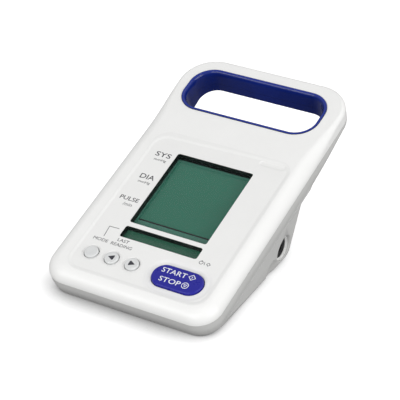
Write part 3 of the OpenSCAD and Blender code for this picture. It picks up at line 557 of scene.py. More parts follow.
def build_front(sizes, colours):
    hairline = ((0.14, 0.05), (0.03, 0.12), (0.0, 0.25))
    outer = [flat_ring(inset, PARTING + rise) for inset, rise in hairline]
    outer += [shoulder_ring(i / 16, sizes) for i in range(1, 17)]
    obj = made(loft("front_shell", outer))
    inner = [flat_ring(WALL, PARTING - 2)] + [shoulder_ring(i / 10, sizes, WALL) for i in range(1, 11)]
    carve(obj, [loft("room", inner)])
    collar_w = 1.8
    collar = [(collar_w, PARTING + 0.05), (collar_w, -WALL + 0.3)]
    carve(obj, [stacked("collar", GRIP, collar, 16)], "UNION")
    grip = stacked("grip", GRIP, [(0.0, -30), (0.0, 5)], 16)
    seat = stacked("panel", PANEL, [(0.14, -0.92), (0.14, 3)], 16)
    carve(obj, [grip, seat] + openings(-20, 1.2, 10))
    white = moulded("white_shell", colours.white, 0.36, grain_mm=0.3, grain=0.006, mottle=0.012, edge=0.3)
    finish_piece(obj, white, nodes=("front_case",))


def build_rear(colours):
    grey = moulded("grey_shell", colours.grey, 0.42, grain_mm=0.4, grain=0.012, mottle=0.015, edge=0.25)
    # Painted shade: the grey turns darker where it is closed in, near the floor and in its creases
    painted_hollow_shade(grey, 12.0, 0.25)
    obj = copied("rear_case", "rear_shell", FACE.inverted())
    outside = -4.0
    top, low = PARTING - 0.02, PARTING - ROLL_DEPTH
    rings = [flat_ring(outside, top)]
    for k in range(ROLL_STEPS + 1):
        t = k / ROLL_STEPS
        rings.append(flat_ring(SIDE_ROLL * t**2 - 0.02, top + (low - top) * t))
    rings += [flat_ring(SIDE_ROLL + 0.2, low - 0.7), flat_ring(outside, low - 1.0)]
    to_face = FACE.inverted() @ DESK
    at_socket = to_face @ Matrix.Translation(SOCKET) @ Matrix.Rotation(math.radians(90), 4, "Y")
    mouth = loft("mouth", [grown(round_shape(0, 0, r), 0, h, 16) for r, h in SOCKET_MOUTH])
    mouth.transform(at_socket)
    scoop = bpy.data.meshes.new("scoop")
    bm = bmesh.new()
    bmesh.ops.create_uvsphere(bm, u_segments=48, v_segments=32, radius=SCOOP_R)
    bm.to_mesh(scoop)
    bm.free()
    scoop.transform(to_face @ Matrix.Translation(SCOOP))
    carve(obj, [loft("roll", rings[::-1], closed=True), mouth, scoop])
    finish_piece(obj, grey, nodes=("rear_case",))
    # Painted highlight: a pale collar lines the socket's mouth, where its rim is lit
    shape = round_shape(0, 0, SOCKET_COLLAR_R)
    collar = made(stacked("socket_collar", shape, SOCKET_COLLAR, 16, closed=True))
    collar.data.transform(at_socket)
    finish_piece(collar, moulded("collar_painted_highlight", (0.8, 0.8, 0.79), 0.3, grain=0.003, mottle=0.02))
    dressed("battery_cover", "battery_door", grey, body="battery_cover", angle=38)


def build_ring(colours):
    gloss = {"grain_mm": 0.5, "grain": 0.002, "mottle": 0.04, "specular": 0.35}
    blue = moulded("ring_blue", colours.ring, 0.13, 0.03, **gloss)
    # Painted shade: the blue turns darker deep inside the handle's opening
    painted_hollow_shade(blue, 45.0, 2.4)
    top, land, wall, lip, steps = 0.5, 1.3, 3.2, 4.6, 9
    profile = [(-0.15, -10.0), (-0.15, 0.1), (-0.3, 0.4), (-0.6, top)]
    for k in range(steps + 1):
        a = math.radians(90 * k / steps)
        profile.append((-land - (wall - land) * math.sin(a), top - lip * (1 - math.cos(a))))
    profile += [(-wall - RING_DRAFT * (top - n), n) for n in (-7.0, -10.0)]
    lining = made(stacked("handle_lining", GRIP, profile, 20, closed=True))
    finish_piece(lining, blue, nodes=("handle_ring",), angle=40)
    dressed("handle_ring_rear", "handle_lining_rear", blue, angle=30)


def dish_tool(shape, growth, floor, rise):
    """A tool that scoops a ring-shaped dish with a soft wall round a key."""
    profile = [(GAP - 0.1, -6.0), (GAP, floor)]
    span = growth - GAP
    for k in range(1, 9):
        t = k / 8
        profile.append((GAP + span * (0.45 + 0.55 * t), floor + (rise - floor) * eased(t)))
    return stacked("dish", shape, profile + [(growth + 0.6, rise + 0.5), (growth + 0.6, 3.0)])


def panel_top(u):
    """Height of the upper rim of the hollow: it climbs a little and steps up round a soft dimple."""
    climb, left, right = HOLLOW_CLIMB
    step, foot, head = HOLLOW_STEP
    slope = climb * min(max((u - left) / (right - left), 0.0), 1.0)
    return HOLLOW_TOP + slope + step * eased((u - foot) / (head - foot))


def hollow_ring(inset, n):
    """An outline of the shallow hollow in the panel, moved in from its border."""
    middle, half = PANEL[1], PANEL[3] / 2
    points = []
    for u, v, _ in grown(PANEL, -inset, n, 16):
        if v > middle:
            v = middle + (v - middle) * (panel_top(u) - inset - middle) / (half - inset)
        points.append((u, v, n))
    return points


def build_panel(sizes, colours):
    depth, cove = mm(sizes.panel_depth), mm(sizes.panel_cove)
    rings = [grown(PANEL, 0.12, -0.85, 16), grown(PANEL, 0.12, 0.0, 16), hollow_ring(0.3, 0.0)]
    for k in range(1, 9):
        t = k / 8
        rings.append(hollow_ring(0.3 + cove * t, -depth * eased(t)))
    obj = made(loft("panel_skin", rings))
    tools = [dish_tool(round_shape(u, KEY_V, KEY_R), 1.9, -0.82, -depth) for u in KEY_U]
    tools.append(dish_tool(START, 5.4, -0.84, -depth))
    dimple = []
    for degrees in (0, 20, 40, 60, 80):
        a = math.radians(degrees)
        dimple.append((-DIMPLE_R + DIMPLE_R * math.sin(a), -depth - DIMPLE_DEPTH * math.cos(a)))
    tools.append(stacked("dimple", DIMPLE, dimple + [(0.3, 2.0)], 10))
    carve(obj, tools + openings(-6, 0, 12))
    pale = tuple(c * PANEL_SHADE for c in colours.white)
    white = moulded("panel_white", pale, 0.4, grain_mm=0.3, grain=0.005, mottle=0.012, edge=0.2)
    finish_piece(obj, white, nodes=("face_panel",), angle=24)


# Display

# A face that leans past this from the panel is painted as a side
SIDE_FACING = 0.6


def paint_sides(obj, paint):
    """Gives the faces that stand up from the panel a second finish."""
    up = (FACE.to_3x3() @ Vector((0, 0, 1))).normalized()
    obj.data.materials.append(paint)
    for face in obj.data.polygons:
        if abs(face.normal.dot(up)) < SIDE_FACING:
            face.material_index = 1


def build_display(sizes, colours):
    recoat(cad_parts["lcd_glass"], display_finish("display_green", colours.display))
    glass = {"grain": 0.0, "mottle": 0.01, "alpha": 0.05, "specular": 0.35}
    clear = moulded("clear_pane", (0.02, 0.03, 0.03), 0.05, 0.01, **glass)
    paint = moulded("pane_border_black", (0.006, 0.009, 0.008), 0.35, grain=0.002, mottle=0.1, specular=0.2)
    top = -mm(sizes.panel_depth) - 0.1
    side = [(-0.15, -2.7), (-0.15, top - 0.12), (-0.27, top)]
    obj = made(stacked("window_pane", MAIN_WINDOW, side, 4))
    carve(obj, [stacked("strip_pane", STRIP_WINDOW, side, 4)], "UNION")
    finish_piece(obj, clear, nodes=("display_window",))
    paint_sides(obj, paint)
    rim = [(0.0, -4.6), (0.0, -0.75), (-0.1, -0.65), (-0.2, -0.75), (-0.2, -4.6)]
    lining = [stacked("lining", shape, rim, 4, closed=True) for shape in (MAIN_WINDOW, STRIP_WINDOW)]
    for mesh in lining:
        tidy(mesh)
    finish_piece(joined("window_lining", lining), paint)
    dark = moulded("frame_black", (0.02, 0.02, 0.022), 0.45, 0.08, mottle=0.1)
    dressed("lcd_frame", "display_frame", dark, width=0.15)
    low, high = DISPLAY_N, PRINT_N
    corners = ((PRINT_OUTSIDE, low), (PRINT_OUTSIDE, high), (PRINT_INSIDE, high), (PRINT_INSIDE, low))
    border = loft("display_border", [grown(shape, 0, n, 6) for shape, n in corners], closed=True)
    finish_piece(made(border, 0.00001), paint, angle=0)
    line = moulded("display_line", (0.003, 0.012, 0.01), 0.4, grain=0.0, mottle=0.05)
    divider = outline_mark([(-23.6, 62.0), (29.2, 62.0)], low, 0.035, 1.2)
    finish_piece(joined("display_divider", [divider]), line, angle=0)
    # Painted highlight: a lighter green line along the display's left and upper edges, where its glass edge is
    # lit; the same green makes a lighter band along its foot
    brightening = tuple(c * f for c, f in zip(colours.display, (2.1, 1.35, 1.5)))
    edge = moulded("display_edge", brightening, 0.3, grain=0.0, mottle=0.05)
    corner = outline_mark([(-24.9, 55.0), (-24.9, 116.9), (31.5, 116.9)], low, 0.02, 1.5)
    foot = outline_mark([(-24.1, 58.2), (31.5, 58.2)], low, 0.02, 7.0)
    finish_piece(joined("display_bright_edge", [corner, foot]), edge, angle=0)
    dim = display_finish("strip_green", tuple(c * f for c, f in zip(colours.display, (1.25, 0.95, 0.9))))
    mesh = stacked("strip_display", STRIP_WINDOW, [(-0.16, -4.55), (-0.16, -4.45)], 4)
    finish_piece(placed("strip_display", mesh), dim, angle=0)


# Keys


def cap_profile(foot, wall_top, rounding, arc_steps):
    """A key's flange, wall and rounded edge, as pairs of growth and height."""
    profile = [(0.9, foot), (1.3, foot + 0.2), (1.3, -2.8), (1.1, -2.6), (0.0, -2.55), (0.0, wall_top)]
    for k in range(1, arc_steps + 1):
        a = math.radians(90 * k / arc_steps)
        profile.append((-rounding * (1 - math.cos(a)), wall_top + rounding * math.sin(a)))
    return profile


def build_keys(sizes, colours):
    grey = moulded("key_grey", colours.key_grey, 0.38, grain_mm=0.3, grain=0.006, mottle=0.015, edge=0.35)
    profile = cap_profile(-3.4, -0.15, 0.75, 6)
    profile += [(-1.6, 0.62), (-2.4, 0.57), (-3.2, 0.54), (-4.1, 0.53)]
    stem = [(0, -6.6), (0, -3.0)]
    for u, key in zip(KEY_U, ("mode_button", "back_button", "forward_button")):
        obj = made(stacked(key + "_cap", round_shape(u, KEY_V, KEY_R), profile))
        carve(obj, [stacked("stem", round_shape(u, KEY_V, 2.0), stem, 8)], "UNION")
        finish_piece(obj, grey, key, (key,), angle=34)
    touch = {"grain_mm": 0.3, "grain": 0.005, "mottle": 0.04, "edge": 0.2, "specular": 0.3}
    blue = moulded("key_blue", colours.key_blue, 0.3, **touch)
    edge, low = 1.1, -0.1
    profile = cap_profile(-3.5, low, edge, 8)
    crown = mm(sizes.start_crown)
    for k in range(1, 7):
        t = k / 6
        profile.append((-edge - 6.6 * t, low + edge + crown * (1 - (1 - t) * (1 - t)) - 0.02))
    obj = made(stacked("start_stop_cap", START, profile, 16))
    u, v = START[:2]
    stems = [round_shape(u + side * START[2] / 4, v, 2.2) for side in (-1, 1)]
    carve(obj, [stacked("stem", shape, [(0, -6.0), (0, -3.0)], 8) for shape in stems], "UNION")
    finish_piece(obj, blue, "start_stop_button", ("start_stop_button",), angle=34)


# Legends

CIRCLE_STEPS = 24
# Height of a capital against the size of its letters
CAPITAL = 0.7


def words(text, u, v, height, n, thick, width, bold=0.0):
    """A mesh of plain capitals centred on a place of the face."""
    curve = bpy.data.curves.new("words", "FONT")
    curve.body = text
    curve.size = height / CAPITAL
    curve.align_x = "CENTER"
    curve.align_y = "CENTER"
    curve.extrude = thick / 2
    curve.offset = bold
    curve.resolution_u = 3
    obj = placed("words", curve)
    mesh = as_mesh(obj)
    bpy.data.objects.remove(obj)
    bpy.data.curves.remove(curve)
    xs = [p.co.x for p in mesh.vertices]
    ys = [p.co.y for p in mesh.vertices]
    mesh.transform(Matrix.Translation((-(max(xs) + min(xs)) / 2, -(max(ys) + min(ys)) / 2, 0)))
    mesh.transform(Matrix.Diagonal((width / (max(xs) - min(xs)), height / (max(ys) - min(ys)), 1, 1)))
    mesh.transform(Matrix.Translation((u, v, n + thick / 2)))
    return mesh


def outline_mark(points, n, thick, line):
    """A printed line along points, or round them when the last point repeats the first."""
    bm = bmesh.new()
    shut = points[0] == points[-1]
    pts = [Vector(p).to_2d() for p in (points[:-1] if shut else points)]
    left, right = [], []
    for i, p in enumerate(pts):
        a = pts[i - 1] if shut or i else p
        b = pts[(i + 1) % len(pts)] if shut or i < len(pts) - 1 else p
        d1 = (p - a).normalized() if (p - a).length else (b - p).normalized()
        d2 = (b - p).normalized() if (b - p).length else d1
        mid = (d1 + d2).normalized()
        side = Vector((-mid.y, mid.x))
        reach = line / 2 / max(side.dot(Vector((-d1.y, d1.x))), 0.4)
        left.append(bm.verts.new((*(p + side * reach), n + thick)))
        right.append(bm.verts.new((*(p - side * reach), n + thick)))
    pairs = len(pts) if shut else len(pts) - 1
    for i in range(pairs):
        j = (i + 1) % len(pts)
        bm.faces.new((right[i], right[j], left[j], left[i]))
    solid = bmesh.ops.extrude_face_region(bm, geom=list(bm.faces))
    for item in solid["geom"]:
        if isinstance(item, bmesh.types.BMVert):
            item.co.z -= thick
    bmesh.ops.recalc_face_normals(bm, faces=bm.faces)
    mesh = bpy.data.meshes.new("mark")
    bm.to_mesh(mesh)
    bm.free()
    return mesh


def joined(name, meshes):
    bm = bmesh.new()
    for mesh in meshes:
        bm.from_mesh(mesh)
        bpy.data.meshes.remove(mesh)
    bmesh.ops.remove_doubles(bm, verts=bm.verts, dist=0.0005)
    out = bpy.data.meshes.new(name)
    bm.to_mesh(out)
    bm.free()
    return placed(name, out)


def circle(u, v, r):
    angles = [2 * math.pi * k / CIRCLE_STEPS for k in range(CIRCLE_STEPS)]
    pts = [(u + r * math.cos(a), v + r * math.sin(a)) for a in angles]
    return pts + [pts[0]]


def diamond(u, v, half_w, half_l):
    """The four points of a diamond and the first again, from the left round by the top."""
    return [(u - half_w, v), (u, v + half_l), (u + half_w, v), (u, v - half_l), (u - half_w, v)]


def build_legends(sizes, colours):
    t = mm(sizes.legend_depth)
    n = -mm(sizes.panel_depth) - 0.005
    ink = moulded("legend_ink", colours.ink, 0.5, grain=0.002, mottle=0.06)
    meshes = [
        words("SYS", -34.4, 114.4, 4.0, n, t, 11.4, 0.035),
        words("mmHg", -34.2, 109.2, 2.6, n, t, 9.0),
        words("DIA", -34.4, 93.2, 4.0, n, t, 10.6, 0.035),
        words("mmHg", -34.3, 88.0, 2.6, n, t, 9.0),
        words("PULSE", -35.8, 72.2, 3.3, n, t, 13.8, 0.025),
        words("/min", -34.5, 67.4, 2.6, n, t, 6.6),
        words("MODE", -35.2, 35.2, 2.4, n, t, 10.6),
        words("LAST", -20.6, 39.0, 2.4, n, t, 8.2),
        words("READING", -19.8, 35.0, 2.4, n, t, 15.2),
        outline_mark([(-34.8, 38.2), (-35.6, 46.8), (-28.6, 47.1)], n, t, 0.4),
        outline_mark(circle(34.6, 40.8, 1.25), n, t, 0.36),
        outline_mark([(34.6, 41.4), (34.6, 42.6)], n, t, 0.36),
        outline_mark([(37.2, 39.6), (36.6, 42.0)], n, t, 0.34),
        outline_mark(diamond(39.7, 40.8, 1.2, 1.2), n, t, 0.36),
    ]
    finish_piece(joined("face_legends", meshes), ink, angle=0)
    pale = moulded("legend_white", (0.8, 0.82, 0.86), 0.45, grain=0.002)
    n = 1.02 + mm(sizes.start_crown) * 0.72
    meshes = [
        words("START", 24.0, 26.6, 3.7, n, t, 17.2, 0.02),
        outline_mark(diamond(36.3, 26.9, 2.3, 2.1), n, t, 0.42),
        outline_mark([(36.3, 26.1), (36.3, 27.7)], n, t, 0.42),
        words("STOP", 24.4, 19.7, 3.7, n, t, 14.8, 0.02),
        outline_mark(circle(35.1, 19.8, 2.15), n, t, 0.42),
        outline_mark([(34.1, 20.5), (36.1, 20.5), (35.1, 18.7), (34.1, 20.5)], n, t, 0.36),
    ]
    finish_piece(joined("start_stop_legends", meshes), pale, "start_stop_button", angle=0)
    for key, u, turn in (("back_button", KEY_U[1], -1), ("forward_button", KEY_U[2], 1)):
        mark = [(u - turn * 1.9, KEY_V - 2.3), (u + turn * 2.3, KEY_V), (u - turn * 1.9, KEY_V + 2.3)]
        if turn < 0:
            mark.reverse()
        mesh = loft("arrow", [[(*p, 0.4) for p in mark], [(*p, 0.58) for p in mark]])
        finish_piece(placed(key + "_arrow", mesh), ink, key, angle=0)


# Small repeated parts

CROSS_BARS = ((3.0, 0.7, 2.0), (0.7, 3.0, 2.0))


def group_tree(name, inputs):
    """A geometry tree with a geometry socket in and out and the named sizes."""
    tree = bpy.data.node_groups.new(name, "GeometryNodeTree")
    tree.interface.new_socket("Geometry", in_out="INPUT", socket_type="NodeSocketGeometry")
    for label, kind, value in inputs:
        socket = tree.interface.new_socket(label, in_out="INPUT", socket_type=kind)
        if value is not None:
            socket.default_value = value
    tree.interface.new_socket("Geometry", in_out="OUTPUT", socket_type="NodeSocketGeometry")
    return tree, tree.nodes.new("NodeGroupInput"), tree.nodes.new("NodeGroupOutput")


def grown_by_tree(name, tree, points, values):
    """Runs a geometry tree on a set of points and leaves a plain mesh."""
    mesh = bpy.data.meshes.new(name)
    mesh.from_pydata(points, [], [])
    obj = placed(name, mesh)
    mod = obj.modifiers.new("tree", "NODES")
    mod.node_group = tree
    for item in tree.interface.items_tree:
        if item.item_type == "SOCKET" and item.in_out == "INPUT" and item.name in values:
            mod[item.identifier] = values[item.name]
    settle(obj)
    return obj


def screw_tree():
    """Pan-head screws with a cross recess, one standing on each point with its head down."""
    tree, start, end = group_tree(
        "screws",
        [
            ("Head radius", "NodeSocketFloat", 2.65),
            ("Head height", "NodeSocketFloat", SCREW_HEAD),
            ("Head rounding", "NodeSocketFloat", 0.5),
            ("Shank radius", "NodeSocketFloat", 1.42),
            ("Shank length", "NodeSocketFloat", 12.0),
            ("Finish", "NodeSocketMaterial", None),
        ],
    )

    def lifted(mesh, amount):
        place = fed(tree, "ShaderNodeCombineXYZ", [("Z", amount)])
        return fed(tree, "GeometryNodeTransform", [("Geometry", mesh), ("Translation", place)])

    high, wide = start.outputs["Head height"], start.outputs["Head radius"]
    soft, long = start.outputs["Head rounding"], start.outputs["Shank length"]
    upper = worked(tree, "SUBTRACT", high, soft)
    narrow = worked(tree, "SUBTRACT", wide, soft)
    collar = fed(tree, "GeometryNodeMeshCylinder", [("Radius", wide), ("Depth", upper)], Vertices=32)
    cone = [("Radius Top", wide), ("Radius Bottom", narrow), ("Depth", soft)]
    dome = fed(tree, "GeometryNodeMeshCone", cone, Vertices=32)
    collar = lifted(collar, worked(tree, "MULTIPLY_ADD", upper, 0.5, soft))
    head = fed(tree, "GeometryNodeJoinGeometry", [(0, collar), (0, dome)])
    welded = fed(tree, "GeometryNodeMeshBoolean", [(1, head)], operation="UNION")
    bars = [(1, fed(tree, "GeometryNodeMeshCube", [("Size", size)])) for size in CROSS_BARS]
    cut = fed(tree, "GeometryNodeMeshBoolean", [(0, welded)] + bars, operation="DIFFERENCE")
    round_bar = [("Radius", start.outputs["Shank radius"]), ("Depth", long)]
    shank = fed(tree, "GeometryNodeMeshCylinder", round_bar, Vertices=20)
    shank = lifted(shank, worked(tree, "MULTIPLY_ADD", long, 0.5, high))
    screw = fed(tree, "GeometryNodeJoinGeometry", [(0, cut), (0, shank)])
    placing = [("Points", start.outputs["Geometry"]), ("Instance", screw)]
    spread = fed(tree, "GeometryNodeInstanceOnPoints", placing)
    real = fed(tree, "GeometryNodeRealizeInstances", [(0, spread)])
    coating = [("Geometry", real), ("Material", start.outputs["Finish"])]
    tree.links.new(fed(tree, "GeometryNodeSetMaterial", coating), end.inputs[0])
    return tree


def screw_seats():
    """The lowest point on the axis of each packed case screw, in the face frame."""
    bm = bmesh.new()
    bm.from_mesh(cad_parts["case_screws"].data)
    bm.transform(FACE.inverted())
    bmesh.ops.remove_doubles(bm, verts=bm.verts, dist=SAME_POINT)
    left = set(bm.verts)
    seats = []
    while left:
        found = [left.pop()]
        for vert in found:
            near = {e.other_vert(vert) for e in vert.link_edges} & left
            left -= near
            found.extend(near)
        box = [(min(v.co[i] for v in found), max(v.co[i] for v in found)) for i in range(3)]
        low, high = box[2]
        seats.append((sum(box[0]) / 2, sum(box[1]) / 2, low, high - low))
    bm.free()
    return seats


def build_fasteners():
    metal = {"metallic": 1.0, "grain_mm": 0.2, "grain": 0.004, "mottle": 0.08}
    steel = moulded("screw_steel", (0.55, 0.55, 0.56), 0.32, 0.08, **metal)
    tree = screw_tree()
    seats = screw_seats()
    parts = []
    for length in sorted({round(seat[3], 2) for seat in seats}):
        points = [seat[:3] for seat in seats if round(seat[3], 2) == length]
        values = {"Shank length": length - SCREW_HEAD, "Head height": SCREW_HEAD, "Finish": steel}
        part = grown_by_tree("screws", tree, points, values)
        parts.append(part.data)
        bpy.data.objects.remove(part)
    screws = joined("case_screws_zinc", parts)
    finish_piece(screws, steel, nodes=("case_screws",), angle=35)
    bpy.data.node_groups.remove(tree)


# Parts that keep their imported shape

HOSES = ["hose_pump", "hose_jack", "hose_valve", "hose_sensor_front", "hose_sensor_rear"]
RESIST = {"spread": 0.08, "grain_mm": 0.8, "mottle": 0.15, "cloud_mm": 6}
RESIN = {"spread": 0.08, "grain_mm": 0.2, "mottle": 0.1}
TIN = {"spread": 0.1, "metallic": 1.0, "grain": 0.004, "mottle": 0.08}
NYLON = {"spread": 0.06, "grain": 0.006, "mottle": 0.04}
METAL = {"spread": 0.08, "metallic": 1.0, "grain_mm": 0.2, "grain": 0.003, "mottle": 0.08}
FOAM = {"grain_mm": 0.6, "grain": 0.03, "mottle": 0.1}
THIN = {"grain": 0.003, "mottle": 0.05}
SMOOTH = {"grain": 0.003}
# Name, colour, roughness, other values, and the nodes that have the finish
INNER_FINISHES = (
    ("board_green", (0.02, 0.13, 0.05), 0.35, RESIST, ["main_board"]),
    ("chip_black", (0.02, 0.02, 0.022), 0.5, RESIN, ["board_chips", "pressure_sensors", "buzzer"]),
    ("tin_metal", (0.5, 0.5, 0.52), 0.35, TIN, ["board_parts", "board_screws", "pump_motor", "pump_strap"]),
    ("cream_nylon", (0.72, 0.68, 0.55), 0.45, NYLON, ["board_connectors", "pump_head", "air_manifold"]),
    ("cell_green", (0.03, 0.22, 0.1), 0.3, {"grain": 0.003, "mottle": 0.06}, ["battery_cells"]),
    ("sleeve_blue", (0.02, 0.07, 0.35), 0.25, {"grain": 0.006, "mottle": 0.06}, ["battery_sleeve"]),
    ("wire_red", (0.45, 0.02, 0.02), 0.4, THIN, ["battery_lead"]),
    ("wire_black", (0.015, 0.015, 0.016), 0.42, THIN, ["motor_lead"]),
    ("wire_yellow", (0.6, 0.42, 0.03), 0.42, THIN, ["valve_lead"]),
    ("mat_silicone", (0.5, 0.51, 0.52), 0.6, {"grain_mm": 0.5}, ["key_mat"]),
    ("pump_rubber", (0.04, 0.04, 0.042), 0.8, FOAM, ["pump_cushion"]),
    ("hose_silicone", (0.7, 0.71, 0.68), 0.35, SMOOTH, HOSES),
    ("light_guide", (0.75, 0.78, 0.72), 0.25, SMOOTH, ["lcd_backlight"]),
    ("contact_rubber", (0.12, 0.12, 0.13), 0.7, {"grain_mm": 0.3, "mottle": 0.1}, ["lcd_contact_strips"]),
    ("valve_grey", (0.3, 0.31, 0.32), 0.4, {**NYLON, "mottle": 0.05}, ["release_valve"]),
    ("brass", (0.72, 0.5, 0.2), 0.3, METAL, ["cuff_jack_nut", "dc_jack_pin"]),
)


def build_inside():
    for name, colour, roughness, values, nodes in INNER_FINISHES:
        finish = moulded(name, colour, roughness, **values)
        for node_name in nodes:
            recoat(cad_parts[node_name], finish)
    brass = finishes["brass"]
    dark = moulded("socket_black", (0.006, 0.006, 0.007), 0.45, 0.06, grain=0.004, mottle=0.1, specular=0.25)
    rubber = moulded("foot_rubber", (0.05, 0.05, 0.053), 0.75, 0.06, grain_mm=0.3, grain=0.02, mottle=0.08)
    dressed("cuff_jack", "cuff_socket", dark, width=0.25, segments=3)
    dressed("dc_jack", "mains_inlet", dark, width=0.2)
    dressed("stand_inserts", "stand_nuts", brass, width=0.15)
    dressed("rubber_feet", "feet", rubber, width=0.3, segments=3)


# Stage

SKY = 0.61
FLOOR_CLOUDS = ((0.79, 0.79, 0.79), (0.8, 0.8, 0.8))
FLOOR_GLOW = 0.6
FLOOR_BOUNCE = 0.3
# The floor's painted shadow under the object, darker where the floor is closed in: its reach in metres, its
# slant, its two ends and their strengths
SHADE_REACH = 0.02
SHADE_SLANT = 1.7
SHADE_RAMP = (-0.06, 0.05, 0.8, 0.25)
CAMERA_PLACE = (0.4454, -0.7710, 0.5455)
CAMERA_FORWARD = (-0.4359, 0.7495, -0.4982)
CAMERA_RIGHT = (0.8646, 0.5025, 0.0)
CAMERA_LENS = 142.21
CAMERA_SHIFT = (-0.00125, 0.00125)
# Name, place, aim, width and height, power
SOFTBOXES = (
    ("overhead_softbox", (0.35, 0.7, 1.2), (0, 0, 0.03), (0.7, 0.25), 1.5),
    ("front_softbox", (-0.3, -1.7, 0.55), (0, 0, 0.03), (1.6, 0.9), 16.2),
    ("right_softbox", (1.7, -0.2, 0.55), (0, 0, 0.03), (1.6, 0.9), 16.4),
)


def build_stage():
    scene = bpy.context.scene
    scene.view_settings.view_transform = "Standard"
    mesh = bpy.data.meshes.new("floor")
    mesh.from_pydata([(-4, -4, 0), (4, -4, 0), (4, 6, 0), (-4, 6, 0)], [], [(0, 1, 2, 3)])
    floor = placed("floor", mesh)
    m, tree, surface, place = bare_finish("floor_white")
    link = tree.links.new
    shader = node(tree, "ShaderNodeBsdfDiffuse", Roughness=0.0)
    clouds = noise(tree, place, 200.0)
    path = tree.nodes.new("ShaderNodeLightPath")
    seen = worked(tree, "MAXIMUM", path.outputs["Is Camera Ray"], path.outputs["Is Transmission Ray"])
    pale = mixed(tree, clouds, *map(opaque, FLOOR_CLOUDS))
    dull = mixed(tree, seen, opaque([FLOOR_BOUNCE] * 3), pale)
    # Painted shadow: for the camera, the floor's colour and emission turn darker where it is closed in under
    # the object, more at the front left than at the right
    near = node(tree, "ShaderNodeAmbientOcclusion", samples=8, Distance=SHADE_REACH)
    across = slanted(tree, place, SHADE_SLANT)
    deep = worked(tree, "POWER", near.outputs["AO"], ramp(tree, across, *SHADE_RAMP))
    unseen = worked(tree, "MULTIPLY_ADD", seen, -1.0, 1.0)
    link(mixed(tree, worked(tree, "MAXIMUM", unseen, deep), opaque(BLACK), dull), shader.inputs["Color"])
    gain = worked(tree, "MULTIPLY", worked(tree, "MULTIPLY", seen, deep), FLOOR_GLOW)
    brightening = fed(tree, "ShaderNodeEmission", [("Strength", gain)], Color=(1, 1, 1, 1))
    link(fed(tree, "ShaderNodeAddShader", enumerate((shader.outputs[0], brightening))), surface)
    floor.data.materials.append(m)

    world = bpy.data.worlds.new("studio")
    world.use_nodes = True
    tree = world.node_tree
    back = next(n for n in tree.nodes if n.type == "BACKGROUND")
    back.inputs["Color"].default_value = (1, 1, 1, 1)
    back.inputs["Strength"].default_value = SKY
    scene.world = world

    for name, place, aim, size, power in SOFTBOXES:
        data = bpy.data.lights.new(name, "AREA")
        data.shape = "RECTANGLE"
        data.size, data.size_y = size
        data.energy = power
        lamp = bpy.data.objects.new(name, data)
        lamp.location = place
        lamp.rotation_euler = (Vector(aim) - Vector(place)).to_track_quat("-Z", "Y").to_euler()
        scene.collection.objects.link(lamp)

    data = bpy.data.cameras.new("camera")
    data.sensor_fit = "HORIZONTAL"
    data.sensor_width = 36.0
    data.lens = CAMERA_LENS
    data.shift_x, data.shift_y = CAMERA_SHIFT
    data.clip_start = 0.05
    camera = bpy.data.objects.new("camera", data)
    forward = Vector(CAMERA_FORWARD).normalized()
    right = Vector(CAMERA_RIGHT).normalized()
    up = right.cross(forward)
    turn = Matrix((right, up, -forward)).transposed().to_4x4()
    camera.matrix_world = Matrix.Translation(CAMERA_PLACE) @ turn
    scene.collection.objects.link(camera)
    scene.camera = camera


# Operators


def settings(context):
    return context.scene.monitor_sizes, context.scene.monitor_colours


class MONITOR_OT_front(bpy.types.Operator):
    """Build the white upper shell"""

    bl_idname = "monitor.front"
    bl_label = "Upper shell"

    def execute(self, context):
        build_front(*settings(context))
        return {"FINISHED"}


class MONITOR_OT_rear(bpy.types.Operator):
    """Build the grey lower shell and the battery door"""

    bl_idname = "monitor.rear"
    bl_label = "Lower shell"

    def execute(self, context):
        build_rear(context.scene.monitor_colours)
        return {"FINISHED"}


class MONITOR_OT_ring(bpy.types.Operator):
    """Build the blue ring inside the handle"""

    bl_idname = "monitor.ring"
    bl_label = "Handle ring"

    def execute(self, context):
        build_ring(context.scene.monitor_colours)
        return {"FINISHED"}


class MONITOR_OT_panel(bpy.types.Operator):
    """Build the recessed panel with its dished key places"""

    bl_idname = "monitor.panel"
    bl_label = "Panel"

    def execute(self, context):
        build_panel(*settings(context))
        return {"FINISHED"}


class MONITOR_OT_display(bpy.types.Operator):
    """Build the display, its frame and its window"""

    bl_idname = "monitor.display"
    bl_label = "Display"

    def execute(self, context):
        build_display(*settings(context))
        return {"FINISHED"}


class MONITOR_OT_keys(bpy.types.Operator):
    """Build the three small keys and the wide key"""

    bl_idname = "monitor.keys"
    bl_label = "Keys"

    def execute(self, context):
        build_keys(*settings(context))
        return {"FINISHED"}


class MONITOR_OT_legends(bpy.types.Operator):
    """Print the plain legends on the panel and the keys"""

    bl_idname = "monitor.legends"
    bl_label = "Legends"

    def execute(self, context):
        build_legends(*settings(context))
        return {"FINISHED"}


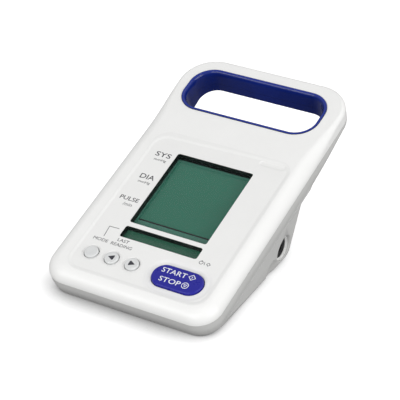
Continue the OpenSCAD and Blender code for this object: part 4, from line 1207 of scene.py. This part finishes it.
class MONITOR_OT_fasteners(bpy.types.Operator):
    """Build the screws"""

    bl_idname = "monitor.fasteners"
    bl_label = "Fasteners"

    def execute(self, context):
        build_fasteners()
        return {"FINISHED"}


class MONITOR_OT_inside(bpy.types.Operator):
    """Finish the parts inside, the sockets and the feet"""

    bl_idname = "monitor.inside"
    bl_label = "Inner parts, sockets and feet"

    def execute(self, context):
        build_inside()
        return {"FINISHED"}


class MONITOR_OT_stage(bpy.types.Operator):
    """Set up the floor, the lamps and the camera"""

    bl_idname = "monitor.stage"
    bl_label = "Stage"

    def execute(self, context):
        build_stage()
        return {"FINISHED"}


class MONITOR_PT_sidebar(bpy.types.Panel):
    """The building steps and the sizes and colours they use"""

    bl_label = "Blood pressure monitor"
    bl_idname = "MONITOR_PT_sidebar"
    bl_space_type = "VIEW_3D"
    bl_region_type = "UI"
    bl_category = "Monitor"

    def draw(self, context):
        column = self.layout.column()
        for group in settings(context):
            for name in group.bl_rna.properties.keys():
                if name not in ("rna_type", "name"):
                    column.prop(group, name)
        for name in STEPS:
            column.operator("monitor." + name)


STEPS = ("stage", "front", "rear", "ring", "panel", "display", "keys", "legends", "fasteners", "inside")
CLASSES = (
    MonitorSizes,
    MonitorColours,
    MONITOR_OT_stage,
    MONITOR_OT_front,
    MONITOR_OT_rear,
    MONITOR_OT_ring,
    MONITOR_OT_panel,
    MONITOR_OT_display,
    MONITOR_OT_keys,
    MONITOR_OT_legends,
    MONITOR_OT_fasteners,
    MONITOR_OT_inside,
    MONITOR_PT_sidebar,
)


def register():
    for cls in CLASSES:
        bpy.utils.register_class(cls)
    bpy.types.Scene.monitor_sizes = bpy.props.PointerProperty(type=MonitorSizes)
    bpy.types.Scene.monitor_colours = bpy.props.PointerProperty(type=MonitorColours)


def unregister():
    del bpy.types.Scene.monitor_colours
    del bpy.types.Scene.monitor_sizes
    for cls in reversed(CLASSES):
        bpy.utils.unregister_class(cls)


def main():
    register()
    for name in STEPS:
        getattr(bpy.ops.monitor, name)()


if __name__ == "__main__":
    main()
